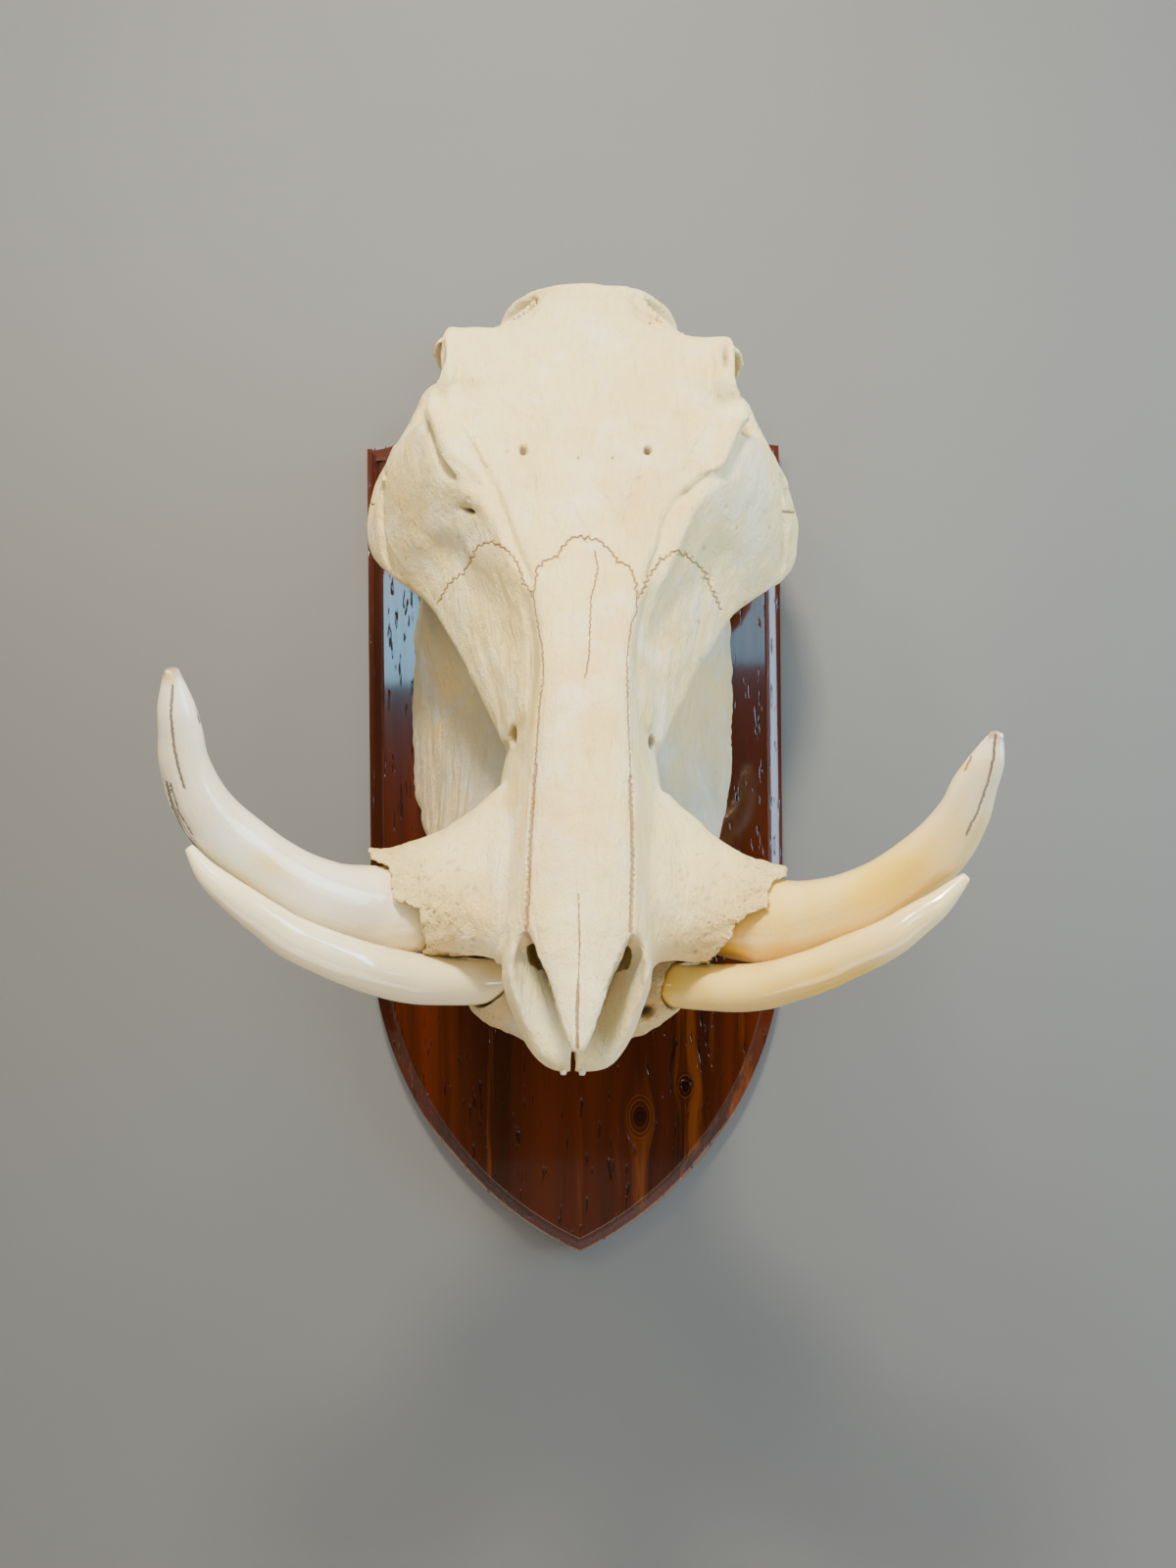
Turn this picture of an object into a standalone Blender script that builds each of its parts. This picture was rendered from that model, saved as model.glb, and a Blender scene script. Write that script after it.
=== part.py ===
"""Warthog skull with its lower jaw and four tusks, hung on a wooden wall shield.

World frame: the origin is the centre of the shield's flat back face, +Z is up and -Y points
away from the wall. The bones are modelled lying down in a skull frame of their own, in
millimetres: x to the side, s backwards from the tip of the nose bones, h up from the line
that joins this tip to the crest at the back of the head. One empty turns that frame upright.
"""
import math

import bmesh
import bpy
from mathutils import Matrix, Vector

MM = 0.001

# Shield, in metres
SHIELD_WIDTH = 0.257
SHIELD_HEIGHT = 0.5735
SHIELD_THICKNESS = 0.020
CREST_HALF_WIDTH = 0.0615
SCOOP_RADIUS = 0.0715
SIDE_END_Z = -0.0867
RIM_WIDTH = 0.0095
RIM_DROP = 0.0075
RIM_STEP = 0.0018
SCOOP_SEGMENTS = 6
POINT_SEGMENTS = 9

# How the skull hangs: pitch, then its small lean and twist off the shield's middle line
NOSE_TIP = (0.0034, -0.3361, -0.0871)
SKULL_PITCH = math.radians(62.0)
SKULL_LEAN = math.radians(1.9)
SKULL_TWIST = math.radians(1.15)
JAW_TURN = math.radians(0.6)

# Clearances and mesh sizes
SOCKET_GAP = 0.0008
SCREW_GAP = 0.0004
VOXEL = 0.0026
CRANIUM_FACES = 3700
JAW_FACES = 1250

# Screws that hold the bones on the shield: x, z, length
SCREW_HEAD_RADIUS = 0.0050
SCREW_HEAD_DEPTH = 0.0035
SCREW_SHANK_RADIUS = 0.0023
SCREW_SINK = 0.0020
SCREW_HEAD_LIP = 0.0010
SCREW_POINT = 0.0050
HOLE_MOUTH = 0.0020
SCREWS = {
    "mounting_screw_left": (-0.0880, 0.074, 0.0345),
    "mounting_screw_right": (0.0880, 0.072, 0.0310),
    "mounting_screw_top": (0.0060, 0.180, 0.0780),
}

# Half sections of the cranium's body: s, then (x, h) from the top of the midline to its underside
CRANIUM_BODY = [
    (44, [(0, 4), (11, 3), (19, -2), (24, -10), (29, -22), (31, -34), (29, -44), (20, -51), (0, -50)]),
    (70, [(0, 5), (11, 4), (20, 0), (25, -10), (31, -24), (34, -40), (32, -53), (22, -60), (0, -58)]),
    (100, [(0, 5), (10, 4), (18.5, 0), (24, -10), (31, -25), (36, -42), (35, -58), (25, -67), (0, -64)]),
    (130, [(0, 4), (9.5, 4), (17.5, 0), (22, -10), (28, -27), (34, -46), (35, -64), (26, -76), (0, -69)]),
    (160, [(0, 3), (10, 3), (18, 0), (22, -10), (27, -28), (32, -50), (34, -72), (28, -86), (0, -75)]),
    (190, [(0, 1), (10, 2), (20, 0), (24, -9), (29, -28), (33, -52), (36, -78), (31, -96), (0, -82)]),
    (220, [(0, -1), (15, 0), (30, -2), (34, -10), (36, -30), (36, -54), (38, -82), (33, -102), (0, -88)]),
    (250, [(0, -1), (21, 0), (40, -3), (43, -12), (42, -32), (38, -56), (39, -84), (34, -104), (0, -92)]),
    (280, [(0, 0), (25, 0), (48, -4), (50, -14), (48, -34), (43, -56), (38, -84), (31, -102), (0, -96)]),
    (310, [(0, 1), (25, 0), (46, -4), (48, -14), (46, -34), (43, -56), (38, -80), (24, -100), (0, -100)]),
    (338, [(0, 2), (23, 1), (44, -4), (40, -14), (35, -34), (40, -56), (40, -80), (26, -102), (0, -106)]),
    (362, [(0, 2), (18, 1), (34, -4), (28, -14), (28, -34), (39, -58), (44, -84), (30, -106), (0, -112)]),
    (380, [(0, 1), (15, 0), (25, -5), (24, -16), (29, -36), (42, -60), (44, -86), (28, -108), (0, -114)]),
    (388, [(0, -2), (13, -3), (22, -9), (24, -20), (29, -38), (37, -60), (35, -82), (20, -100), (0, -104)]),
]

# Forehead plate: s, half width, height on the midline, height at the edge
FOREHEAD = [
    (205, 25, 0, -2), (225, 32, 0, -2), (242, 38, 0, -2), (256, 43.5, 1, -2), (266, 53, 1, -2),
    (272, 60, 1, -1.5), (280, 65.5, 1, -1), (289, 69, 2, 0), (300, 72.5, 2, -1), (309, 77.5, 3, -4),
    (316, 76, 3, -3), (323, 70.5, 3, 3), (342, 70.5, 3, 6), (354, 70, 3, 3),
]
FOREHEAD_EDGE = 8.0

# The plate's narrow part between the two temporal hollows
NECK = [
    (338, 60, 3, 3), (350, 53, 3, 3), (356, 46, 3, 2), (363, 40.5, 3, 1), (372, 34, 2, 0),
    (381, 29.5, 1, -2), (391, 28, -1, -5),
]
NECK_EDGE = 5.0

# Nose bones: s, half width, height on the midline
NOSE_BONES = [
    (-1, 2, -0.5), (6.5, 5.4, 1), (15.5, 8.6, 2.5), (26, 12.2, 3.3), (33.5, 15.3, 3.7), (40, 17.6, 4),
    (46, 19.4, 4), (64, 20, 4.5),
]
NOSE_BONE_THICKNESS = 4.5
NOSE_BONE_ARCH = 0.30

# Premaxilla trough round the nasal opening: s, rim (x, h), widest x, floor half width, floor h
PREMAXILLA = [
    (2, 5, -32, 9, 6, -40), (5.5, 10, -30, 15, 9, -43), (13, 16.5, -25.5, 20.5, 13, -46),
    (23, 22, -18.5, 25, 16, -48), (33, 25, -13, 28.5, 18, -50), (43, 23, -9, 29.5, 19, -51),
    (54, 23, -8, 31, 19, -54),
]
PREMAXILLA_FLOOR = 15.0
# Notch between the two front teeth, cut out: s, middle h, half width, half height
FRONT_NOTCH = [(-4, -36, 1.5, 14), (6, -36, 1.3, 13), (11, -38, 0.5, 10)]

# Straps of bone: two edges (x, s, h), thickness, outward bulge
CHEEK = [
    ((20, 146, -14), (33, 148, -50), 9, 0), ((21, 172, -13), (42, 172, -57), 9, 0),
    ((25, 200, -9), (54, 201, -64), 10, 0), ((36, 236, -6), (72, 239, -75), 11, -1),
    ((43, 252, -6), (86, 260, -86), 11, 0), ((53, 266, -6), (100, 276, -94), 11, 1),
    ((62, 282, -7), (110, 292, -101), 12, 2), ((69, 298, -11), (113, 305, -102), 12, 3),
    ((74, 310, -18), (110, 316, -96), 12, 3), ((78, 321, -30), (104, 324, -83), 12, 3),
    ((85, 329, -42), (97, 328, -68), 11, 2),
]
CHEEK_ARCH = [
    ((92, 296, -62), (112, 294, -99), 12, 0), ((94, 314, -62), (114.5, 313, -98), 12, 0),
    ((94, 328, -63), (113.5, 328, -97), 12, 0), ((93, 340, -64), (110.5, 340, -96), 12, 0),
    ((91, 350, -65), (104, 351, -93), 12, 0), ((88, 358, -64), (98, 360, -90), 13, 0),
    ((84, 367, -61), (92, 369, -88), 14, 0), ((77, 375, -55), (84, 377, -86), 15, 0),
    ((46, 378, -52), (48, 378, -90), 16, 0),
]
POSTORBITAL_HOOK = [
    ((62, 344, 0), (60, 352, -4), 6, 0), ((69, 348, -1), (64, 356, -6), 5, 0),
    ((75, 349.5, -5), (67, 358, -9), 4.5, 0), ((77.5, 350.5, -11), (69, 358.5, -15), 4, 0),
    ((77, 350, -17), (70, 357, -21), 4, 0), ((74, 348.5, -21), (70, 354, -25), 3.5, 0),
]
NUCHAL_CREST = [
    ((-3, 391, 0), (-3, 376, -16), 8, 0), ((18, 392, -2), (16, 376, -18), 8, 0),
    ((32, 394, -9), (27, 377, -24), 8, 0), ((42, 396, -21), (33, 376, -32), 7, 0),
    ((47, 394, -36), (38, 374, -44), 7, 0), ((49, 388, -54), (42, 370, -60), 8, 0),
    ((49, 380, -72), (42, 366, -78), 9, 0),
]
# Sleeve of bone round each upper tusk: x, then centre s, h, half sizes along s and h
TUSK_SLEEVE = [
    (14, 92, -38, 48, 24), (31, 88.5, -44, 43, 25.5), (40, 84.5, -47, 36.5, 25.5),
    (52, 78.5, -50, 29, 25), (62, 74.5, -50.5, 25.2, 24), (71, 72.5, -48.5, 23.8, 22.6),
]
# How far out the sleeve's rim is at each s, left and right
RIM_LEFT = [
    (44, 58), (53, 60.5), (60, 62), (63.5, 65), (65.5, 71.5), (72, 73.5), (79, 75.5), (84, 80), (91, 84.5),
    (99, 86),
]
RIM_RIGHT = [
    (42, 51), (50, 58.5), (57, 60.5), (61, 65), (64, 73), (72, 74.5), (76, 77), (80, 82), (90, 84), (99, 85),
]
SLEEVE_TILT = 0.2
SLEEVE_DROP = 3.0
EAR_PROCESS = [((37, 362, -92), 12), ((39, 358, -122), 9), ((41, 352, -146), 6.5), ((42, 350, -157), 3.5)]
CONDYLE_CENTRE = (14, 380, -108)
CONDYLE_SIZE = (11, 13, 15)

# Nasal cavity and spinal opening, cut out: s, centre h, half width, half height
NASAL_CAVITY = [
    (38, -24, 19, 14), (50, -25, 22, 18), (70, -26, 19, 18), (100, -28, 16, 17), (135, -31, 11, 13),
]
SPINAL_OPENING = [(400, -92, 12, 11), (372, -90, 11, 10), (345, -86, 12, 12)]

# Lower jaw
JAW_FRONT = [
    (23, [(0, -70), (8, -70), (15, -72), (14, -80), (0, -83)]),
    (28, [(0, -68), (14, -68), (27, -71), (25, -84), (0, -90)]),
    (34, [(0, -68), (18, -67), (37, -70), (35, -87), (0, -96)]),
    (42, [(0, -70), (20, -67), (42, -69), (40, -90), (0, -103)]),
    (60, [(0, -78), (18, -73), (37, -74), (39, -100), (0, -114)]),
    (84, [(0, -98), (16, -84), (30, -82), (44, -112), (0, -125)]),
    (98, [(0, -110), (18, -90), (30, -88), (48, -120), (0, -122)]),
]
JAW_BODY = [
    ((24, 78, -84), (42, 78, -112), 17, 0), ((26, 112, -94), (53, 112, -140), 17, 1),
    ((29, 145, -108), (68, 145, -172), 17, 2), ((30, 175, -116), (79, 175, -194), 18, 3),
    ((32, 205, -120), (87, 206, -206), 18, 4), ((38, 235, -120), (91, 236, -211), 18, 4),
    ((50, 262, -112), (92, 264, -210), 17, 3), ((58, 286, -92), (92, 288, -203), 15, 2),
    ((63, 308, -74), (91, 308, -189), 13, 1), ((67, 326, -92), (88, 324, -174), 11, 0),
    ((71, 338, -104), (82, 338, -150), 11, 0),
]
JAW_SLEEVE = [((18, 76, -97), 11), ((28, 59, -84), 13), ((37, 50, -74), 13.2), ((43, 46, -70), 12.6)]
JAW_CONDYLE = [((60, 340, -103), 6.5), ((73, 341, -101), 8), ((87, 340, -104), 6.5)]

# Tusks: (x, s, h) along the middle, radius
UPPER_TUSK_LEFT = [
    ((-38, 88, -58), 14), ((-56, 76, -56), 17.5), ((-74, 69.5, -49), 18.2), ((-86, 68, -42), 16.8),
    ((-100, 66, -29), 15.2), ((-115, 68, -13), 13.6), ((-131, 75, 7), 12.1), ((-138.5, 81, 22), 10.5),
    ((-142, 89, 36), 8.9), ((-142, 96, 46), 7.7), ((-142, 102, 55), 6.2), ((-142, 109, 65), 2.8),
]
UPPER_TUSK_RIGHT = [
    ((40, 88, -58), 14), ((58, 76, -56), 17.5), ((75, 69, -48), 18.2), ((86, 65.5, -41), 16.7),
    ((97, 64, -31), 15.0), ((109, 64.5, -19), 13.5), ((121, 68, -7), 12.5), ((133, 75, 10), 11.1),
    ((138.5, 82, 25), 9.2), ((140, 88, 36), 7.9), ((142, 93, 47), 6.0), ((143, 98, 55), 2.8),
]
LOWER_TUSK_LEFT = [
    ((-18, 76, -98), 7), ((-26, 59, -84), 9), ((-36, 48, -71), 9.5), ((-54, 42.5, -57), 10.0),
    ((-71, 40, -44), 10.1), ((-88, 40, -29), 9.3), ((-106, 43, -14), 8.1), ((-116, 47, -4), 6.9),
    ((-126, 52, 5), 5.7), ((-135, 58, 12), 4.3), ((-141, 65, 17), 2.0),
]
LOWER_TUSK_RIGHT = [
    ((22, 76, -98), 7), ((31, 59, -84), 9), ((41, 48, -71), 9.5), ((59, 41.5, -56), 9.8),
    ((74, 38.5, -43), 9.4), ((89, 38.5, -27), 8.9), ((102, 41, -15), 8.3), ((114, 44, -3), 7.4),
    ((123, 49, 4), 6.3), ((131, 54, 9), 4.9), ((140, 62, 14), 2.0),
]
TUSK_SEGMENTS = 10

INCISOR = [((4.2, 14, -38), 1.8), ((3.9, 8, -36.5), 2.1), ((3.6, 3, -35.5), 1.9), ((3.5, -0.3, -35.5), 1.0)]
INCISOR_SHIFT = -1.3
UPPER_CHEEK_TEETH = [((31, 204, -95), (31, 204, -111)), ((32, 244, -96), (32, 244, -113)),
                     ((31, 284, -94), (31, 284, -110))]
LOWER_CHEEK_TEETH = [((31, 200, -112.5), (33, 200, -128)), ((31, 240, -114.5), (36, 240, -128)),
                     ((32, 270, -112.5), (40, 270, -126))]
TOOTH_WIDTH = 13.0

# Colours in linear light
BONE = (0.72, 0.64, 0.48, 1.0)
JAW_BONE = (0.60, 0.54, 0.42, 1.0)
IVORY = (0.76, 0.66, 0.46, 1.0)
ENAMEL = (0.70, 0.62, 0.44, 1.0)
RED_WOOD = (0.085, 0.022, 0.010, 1.0)
STEEL = (0.52, 0.52, 0.50, 1.0)


def material(name, colour, roughness, metallic=0.0):
    """A plain surface of one colour."""
    made = bpy.data.materials.new(name)
    made.use_nodes = True
    shader = made.node_tree.nodes["Principled BSDF"]
    shader.inputs["Base Color"].default_value = colour
    shader.inputs["Roughness"].default_value = roughness
    shader.inputs["Metallic"].default_value = metallic
    return made


def curve_through(values, spans):
    """Rows of numbers read off a smooth curve through the given rows."""
    rows = []
    for k in range(len(values) - 1):
        before = values[max(k - 1, 0)]
        start = values[k]
        end = values[k + 1]
        after = values[min(k + 2, len(values) - 1)]
        for step in range(spans):
            t = step / spans
            rows.append([
                0.5 * (2 * b + (c - a) * t + (2 * a - 5 * b + 4 * c - d) * t * t
                       + (3 * b - a - 3 * c + d) * t ** 3)
                for a, b, c, d in zip(before, start, end, after)
            ])
    rows.append(list(values[-1]))
    return rows


def loft(bm, rings):
    """Skin a row of equal rings and close both ends."""
    loops = [[bm.verts.new(point) for point in ring] for ring in rings]
    count = len(rings[0])
    faces = []
    for near, far in zip(loops, loops[1:]):
        for i in range(count):
            j = (i + 1) % count
            faces.append(bm.faces.new((near[i], near[j], far[j], far[i])))
    faces.append(bm.faces.new(loops[0]))
    faces.append(bm.faces.new(loops[-1]))
    bmesh.ops.recalc_face_normals(bm, faces=faces)


def body_loft(bm, sections, spans=4):
    """A symmetrical body from half sections that run from the top midline to the bottom one."""
    rows = [[s] + [value for point in half for value in point] for s, half in sections]
    rings = []
    for row in curve_through(rows, spans):
        s = row[0]
        half = list(zip(row[1::2], row[2::2]))
        half = curve_through(half, 2)
        right = [Vector((x, s, h)) * MM for x, h in half]
        left = [Vector((-x, s, h)) * MM for x, h in half[1:-1]]
        rings.append(right + left[::-1])
    loft(bm, rings)


def strap_loft(bm, stations, side, spans=3):
    """A strap of bone between two edges, rounded along both, on the given side."""
    rows = [list(a) + list(b) + [thick, bulge] for a, b, thick, bulge in stations]
    rows = curve_through(rows, spans)
    edges = [(Vector(row[0:3]), Vector(row[3:6])) for row in rows]
    middles = [(a + b) / 2 for a, b in edges]
    rings = []
    for k, (a, b) in enumerate(edges):
        thick, bulge = rows[k][6], rows[k][7]
        along = middles[min(k + 1, len(rows) - 1)] - middles[max(k - 1, 0)]
        across = (b - a).normalized()
        out = across.cross(along).normalized()
        round_in = across * thick * 0.35
        half = out * thick * 0.5
        swell = out * bulge
        ring = [a, a + round_in + half * 0.8, (a + b) / 2 + half + swell, b - round_in + half * 0.8,
                b, b - round_in - half * 0.8, (a + b) / 2 - half + swell, a + round_in - half * 0.8]
        rings.append([Vector((p.x * side, p.y, p.z)) * MM for p in ring])
    loft(bm, rings)


def rod_loft(bm, stations, side=1, spans=3, segments=12, grow=0.0):
    """A round rod along a smooth path; its rings turn with the path without twisting."""
    rows = curve_through([list(centre) + [radius] for centre, radius in stations], spans)
    points = [Vector((row[0] * side, row[1], row[2])) * MM for row in rows]
    upright = Vector((0.0, 0.0, 1.0))
    rings = []
    for k, centre in enumerate(points):
        along = (points[min(k + 1, len(points) - 1)] - points[max(k - 1, 0)]).normalized()
        first = (upright - along * upright.dot(along)).normalized()
        second = along.cross(first)
        upright = first
        radius = rows[k][3] * MM + grow
        rings.append([
            centre + radius * (first * math.cos(turn) + second * math.sin(turn))
            for turn in (2 * math.pi * i / segments for i in range(segments))
        ])
    if grow:
        rings[0] = [p - (points[1] - points[0]).normalized() * grow for p in rings[0]]
    loft(bm, rings)


def plate(bm, table, thick):
    """A broad flat plate of bone with thinner edges."""
    sections = []
    for s, width, middle, edge in table:
        sections.append((s, [
            (0, middle), (width * 0.5, middle * 0.9 + edge * 0.1), (width * 0.84, edge - 0.4),
            (width - 1, edge), (width, edge - thick * 0.4), (width - 1.5, edge - thick),
            (width * 0.75, edge - thick * 1.5), (width * 0.4, -18), (0, -20),
        ]))
    body_loft(bm, sections, 3)


def nose_bones(bm):
    """The arched nose bones that overhang the nasal opening to a point."""
    sections = []
    for s, width, top in NOSE_BONES:
        edge = top - width * NOSE_BONE_ARCH
        low = NOSE_BONE_THICKNESS
        sections.append((s, [
            (0, top), (width * 0.55, top - width * 0.07), (width * 0.94, edge), (width, edge - 1.8),
            (width * 0.9, edge - low * 0.9), (width * 0.5, top - low - width * 0.1), (0, top - low),
        ]))
    body_loft(bm, sections, 3)


def premaxilla(bm):
    """The trough of bone below the nasal opening, open at the top."""
    rings = []
    for s, rim_x, rim_h, wide, floor_x, floor_h in curve_through(PREMAXILLA, 3):
        mid_h = rim_h * 0.45 + floor_h * 0.55
        outer = [
            (rim_x + 1.2, rim_h), (rim_x * 0.35 + wide * 0.65, rim_h * 0.7 + mid_h * 0.3), (wide, mid_h),
            (wide * 0.9, mid_h * 0.45 + floor_h * 0.55), (floor_x, floor_h), (0, floor_h + 1),
        ]
        deep = max(0.0, rim_h - floor_h - PREMAXILLA_FLOOR)
        inner = [
            (rim_x - 0.8, rim_h - 1.2), (wide * 0.80, rim_h - deep * 0.30),
            (wide * 0.55, rim_h - deep * 0.60), (wide * 0.25, rim_h - deep * 0.88), (0, rim_h - deep),
        ]
        ring = outer + [(-x, h) for x, h in outer[-2::-1]]
        ring += [(-x, h) for x, h in inner] + inner[-2::-1]
        rings.append([Vector((x, s, h)) * MM for x, h in ring])
    loft(bm, rings)


def read_off(table, at):
    """The value that a table of pairs gives at a place, straight between its rows."""
    if at <= table[0][0]:
        return table[0][1]
    for (near, low), (far, high) in zip(table, table[1:]):
        if at <= far:
            return low + (high - low) * (at - near) / (far - near)
    return table[-1][1]


def tusk_sleeve(bm, side):
    """The flared sleeve of bone that holds an upper tusk, with its uneven rim."""
    rim = RIM_LEFT if side < 0 else RIM_RIGHT
    rows = curve_through(TUSK_SLEEVE, 3)
    rings = []
    for k, (x, s, h, half_s, half_h) in enumerate(rows):
        near = max(0.0, (k / (len(rows) - 1) - 0.3) / 0.7) ** 1.5
        drop = near * SLEEVE_DROP * (1 + side) / 2
        ring = []
        for i in range(24):
            turn = 2 * math.pi * i / 24
            along_s = half_s * math.cos(turn)
            reach = x + near * (read_off(rim, s + along_s) - TUSK_SLEEVE[-1][0])
            height = h - SLEEVE_TILT * along_s + half_h * math.sin(turn)
            ring.append(Vector((side * reach, s + along_s - drop, height)) * MM)
        rings.append(ring)
    loft(bm, rings)


def ellipse_tunnel(bm, sections, segments=14):
    """A tunnel along s with elliptic sections."""
    rings = []
    for s, h, half_x, half_h in curve_through(sections, 3):
        rings.append([
            Vector((half_x * math.cos(turn), s, h + half_h * math.sin(turn))) * MM
            for turn in (2 * math.pi * i / segments for i in range(segments))
        ])
    loft(bm, rings)


def front_notch(bm):
    """The slot between the two front teeth."""
    rings = []
    for s, h, half_x, half_h in FRONT_NOTCH:
        corners = [(-half_x, -half_h), (half_x, -half_h), (half_x, half_h), (-half_x, half_h)]
        rings.append([Vector((x + INCISOR_SHIFT, s, h + up)) * MM for x, up in corners])
    loft(bm, rings)


def ball(bm, centre, size):
    """An ellipsoid knob."""
    place = Matrix.Translation(Vector(centre) * MM) @ Matrix.Diagonal(Vector(size) * MM).to_4x4()
    bmesh.ops.create_uvsphere(bm, u_segments=14, v_segments=9, radius=1.0, matrix=place)


def tooth_row(bm, stations, side, grow=0.0):
    """A row of worn molars as one slab; grow makes it larger all round, in millimetres."""
    rows = []
    for root, crown in stations:
        stretch = (Vector(crown) - Vector(root)).normalized() * grow
        ends = tuple(Vector(root) - stretch), tuple(Vector(crown) + stretch)
        rows.append((*ends, TOOTH_WIDTH + 2 * grow, 0))
    first, last = rows[0], rows[-1]
    rows[0] = tuple((p[0], p[1] - grow, p[2]) for p in first[:2]) + first[2:]
    rows[-1] = tuple((p[0], p[1] + grow, p[2]) for p in last[:2]) + last[2:]
    strap_loft(bm, rows, side, 3)


def new_object(name, build, parent=None, surface=None):
    """An object whose mesh the given function fills in."""
    bm = bmesh.new()
    build(bm)
    mesh = bpy.data.meshes.new(name)
    bm.to_mesh(mesh)
    bm.free()
    made = bpy.data.objects.new(name, mesh)
    bpy.context.scene.collection.objects.link(made)
    made.parent = parent
    if surface:
        mesh.materials.append(surface)
        mesh.shade_smooth()
    return made


def new_cutter(name, build, parent=None):
    """An object that only cuts others."""
    cutter = new_object(name, build, parent)
    cutter.hide_render = True
    cutter.display_type = "WIRE"
    return cutter


def cut(target, cutter):
    """Take the cutter's shape out of the target."""
    boolean = target.modifiers.new("Cut " + cutter.name, "BOOLEAN")
    boolean.operation = "DIFFERENCE"
    boolean.solver = "EXACT"
    boolean.object = cutter


def fuse(target, smoothing):
    """Grow all the overlapping shapes of a bone together into one skin."""
    remesh = target.modifiers.new("Grow together", "REMESH")
    remesh.mode = "VOXEL"
    remesh.voxel_size = VOXEL
    smooth = target.modifiers.new("Soften", "SMOOTH")
    smooth.factor = 0.5
    smooth.iterations = smoothing


def thin_out(target, faces):
    """Bring a skin down to about so many triangles."""
    depsgraph = bpy.context.evaluated_depsgraph_get()
    mesh = target.evaluated_get(depsgraph).to_mesh()
    mesh.calc_loop_triangles()
    decimate = target.modifiers.new("Fewer faces", "DECIMATE")
    decimate.ratio = faces / len(mesh.loop_triangles)
    decimate.use_collapse_triangulate = True


def build_cranium(bm):
    """Every form of the cranium, overlapping."""
    body_loft(bm, CRANIUM_BODY)
    plate(bm, FOREHEAD, FOREHEAD_EDGE)
    plate(bm, NECK, NECK_EDGE)
    nose_bones(bm)
    premaxilla(bm)
    for side in (-1, 1):
        strap_loft(bm, CHEEK, side)
        strap_loft(bm, CHEEK_ARCH, side)
        strap_loft(bm, POSTORBITAL_HOOK, side)
        strap_loft(bm, NUCHAL_CREST, side)
        tusk_sleeve(bm, side)
        rod_loft(bm, EAR_PROCESS, side)
        ball(bm, (side * CONDYLE_CENTRE[0], *CONDYLE_CENTRE[1:]), CONDYLE_SIZE)


def build_jaw(bm):
    """Every form of the lower jaw, overlapping."""
    body_loft(bm, JAW_FRONT)
    for side in (-1, 1):
        strap_loft(bm, JAW_BODY, side)
        rod_loft(bm, JAW_CONDYLE, side)
        rod_loft(bm, JAW_SLEEVE, side)


def shield_outline():
    """The shield's front outline, anticlockwise from the right end of its flat crest."""
    top = SHIELD_HEIGHT / 2
    half = SHIELD_WIDTH / 2
    scoop_x = CREST_HALF_WIDTH + SCOOP_RADIUS
    points = []
    sweep = math.pi / 2 - math.asin((scoop_x - half) / SCOOP_RADIUS)
    for i in range(SCOOP_SEGMENTS + 1):
        turn = math.pi + sweep * i / SCOOP_SEGMENTS
        points.append((scoop_x + SCOOP_RADIUS * math.cos(turn), top + SCOOP_RADIUS * math.sin(turn)))
    drop = SIDE_END_Z + top
    radius = (half * half + drop * drop) / (2 * half)
    reach = math.asin(drop / radius)
    for i in range(POINT_SEGMENTS + 1):
        turn = -reach * i / POINT_SEGMENTS
        points.append((half - radius + radius * math.cos(turn), SIDE_END_Z + radius * math.sin(turn)))
    mirrored = [(-x, z) for x, z in points[-2::-1]]
    return points + mirrored


def inset_outline(points, distance):
    """The outline moved inwards by a distance, with mitred corners."""
    moved = []
    for k, (x, z) in enumerate(points):
        before = Vector((x, z)) - Vector(points[k - 1])
        after = Vector(points[(k + 1) % len(points)]) - Vector((x, z))
        first = Vector((before.y, -before.x)).normalized()
        second = Vector((after.y, -after.x)).normalized()
        middle = (first + second).normalized()
        reach = distance / middle.dot(first)
        moved.append((x + middle.x * reach, z + middle.y * reach))
    return moved


def build_shield(bm):
    """The board with its routed rim: a cove that ends in a small step."""
    rim = [
        (0.0, 0.0), (0.0, SHIELD_THICKNESS - RIM_DROP), (RIM_WIDTH * 0.3, SHIELD_THICKNESS - RIM_DROP * 0.75),
        (RIM_WIDTH, SHIELD_THICKNESS - RIM_STEP), (RIM_WIDTH + 0.0005, SHIELD_THICKNESS),
    ]
    outline = shield_outline()
    rings = []
    for distance, depth in rim:
        rings.append([Vector((x, -depth, z)) for x, z in inset_outline(outline, distance)])
    loft(bm, rings)


def screw_rod(bm, steps):
    """A turned shape along -Y from radius and depth pairs."""
    rings = []
    for radius, depth in steps:
        rings.append([
            Vector((radius * math.cos(turn), -depth, radius * math.sin(turn)))
            for turn in (2 * math.pi * i / 12 for i in range(12))
        ])
    loft(bm, rings)


def screw_steps(length, grow=0.0):
    """Radius and depth pairs of a countersunk screw, or of the hole that it sits in."""
    head = SCREW_HEAD_RADIUS + grow
    shank = SCREW_SHANK_RADIUS + grow
    start = SCREW_SINK
    if grow:
        start = -HOLE_MOUTH
    return [
        (head, start), (head, SCREW_SINK + SCREW_HEAD_LIP), (shank, SCREW_SINK + SCREW_HEAD_DEPTH + grow),
        (shank, length - SCREW_POINT), (shank * 0.3, length + grow),
    ]


for old in list(bpy.data.objects):
    bpy.data.objects.remove(old, do_unlink=True)

bone = material("Bone", BONE, 0.62)
jaw_bone = material("Jaw bone", JAW_BONE, 0.66)
ivory = material("Ivory", IVORY, 0.30)
enamel = material("Enamel", ENAMEL, 0.35)
wood = material("Varnished wood", RED_WOOD, 0.22)
steel = material("Screw steel", STEEL, 0.38, 1.0)

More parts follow.
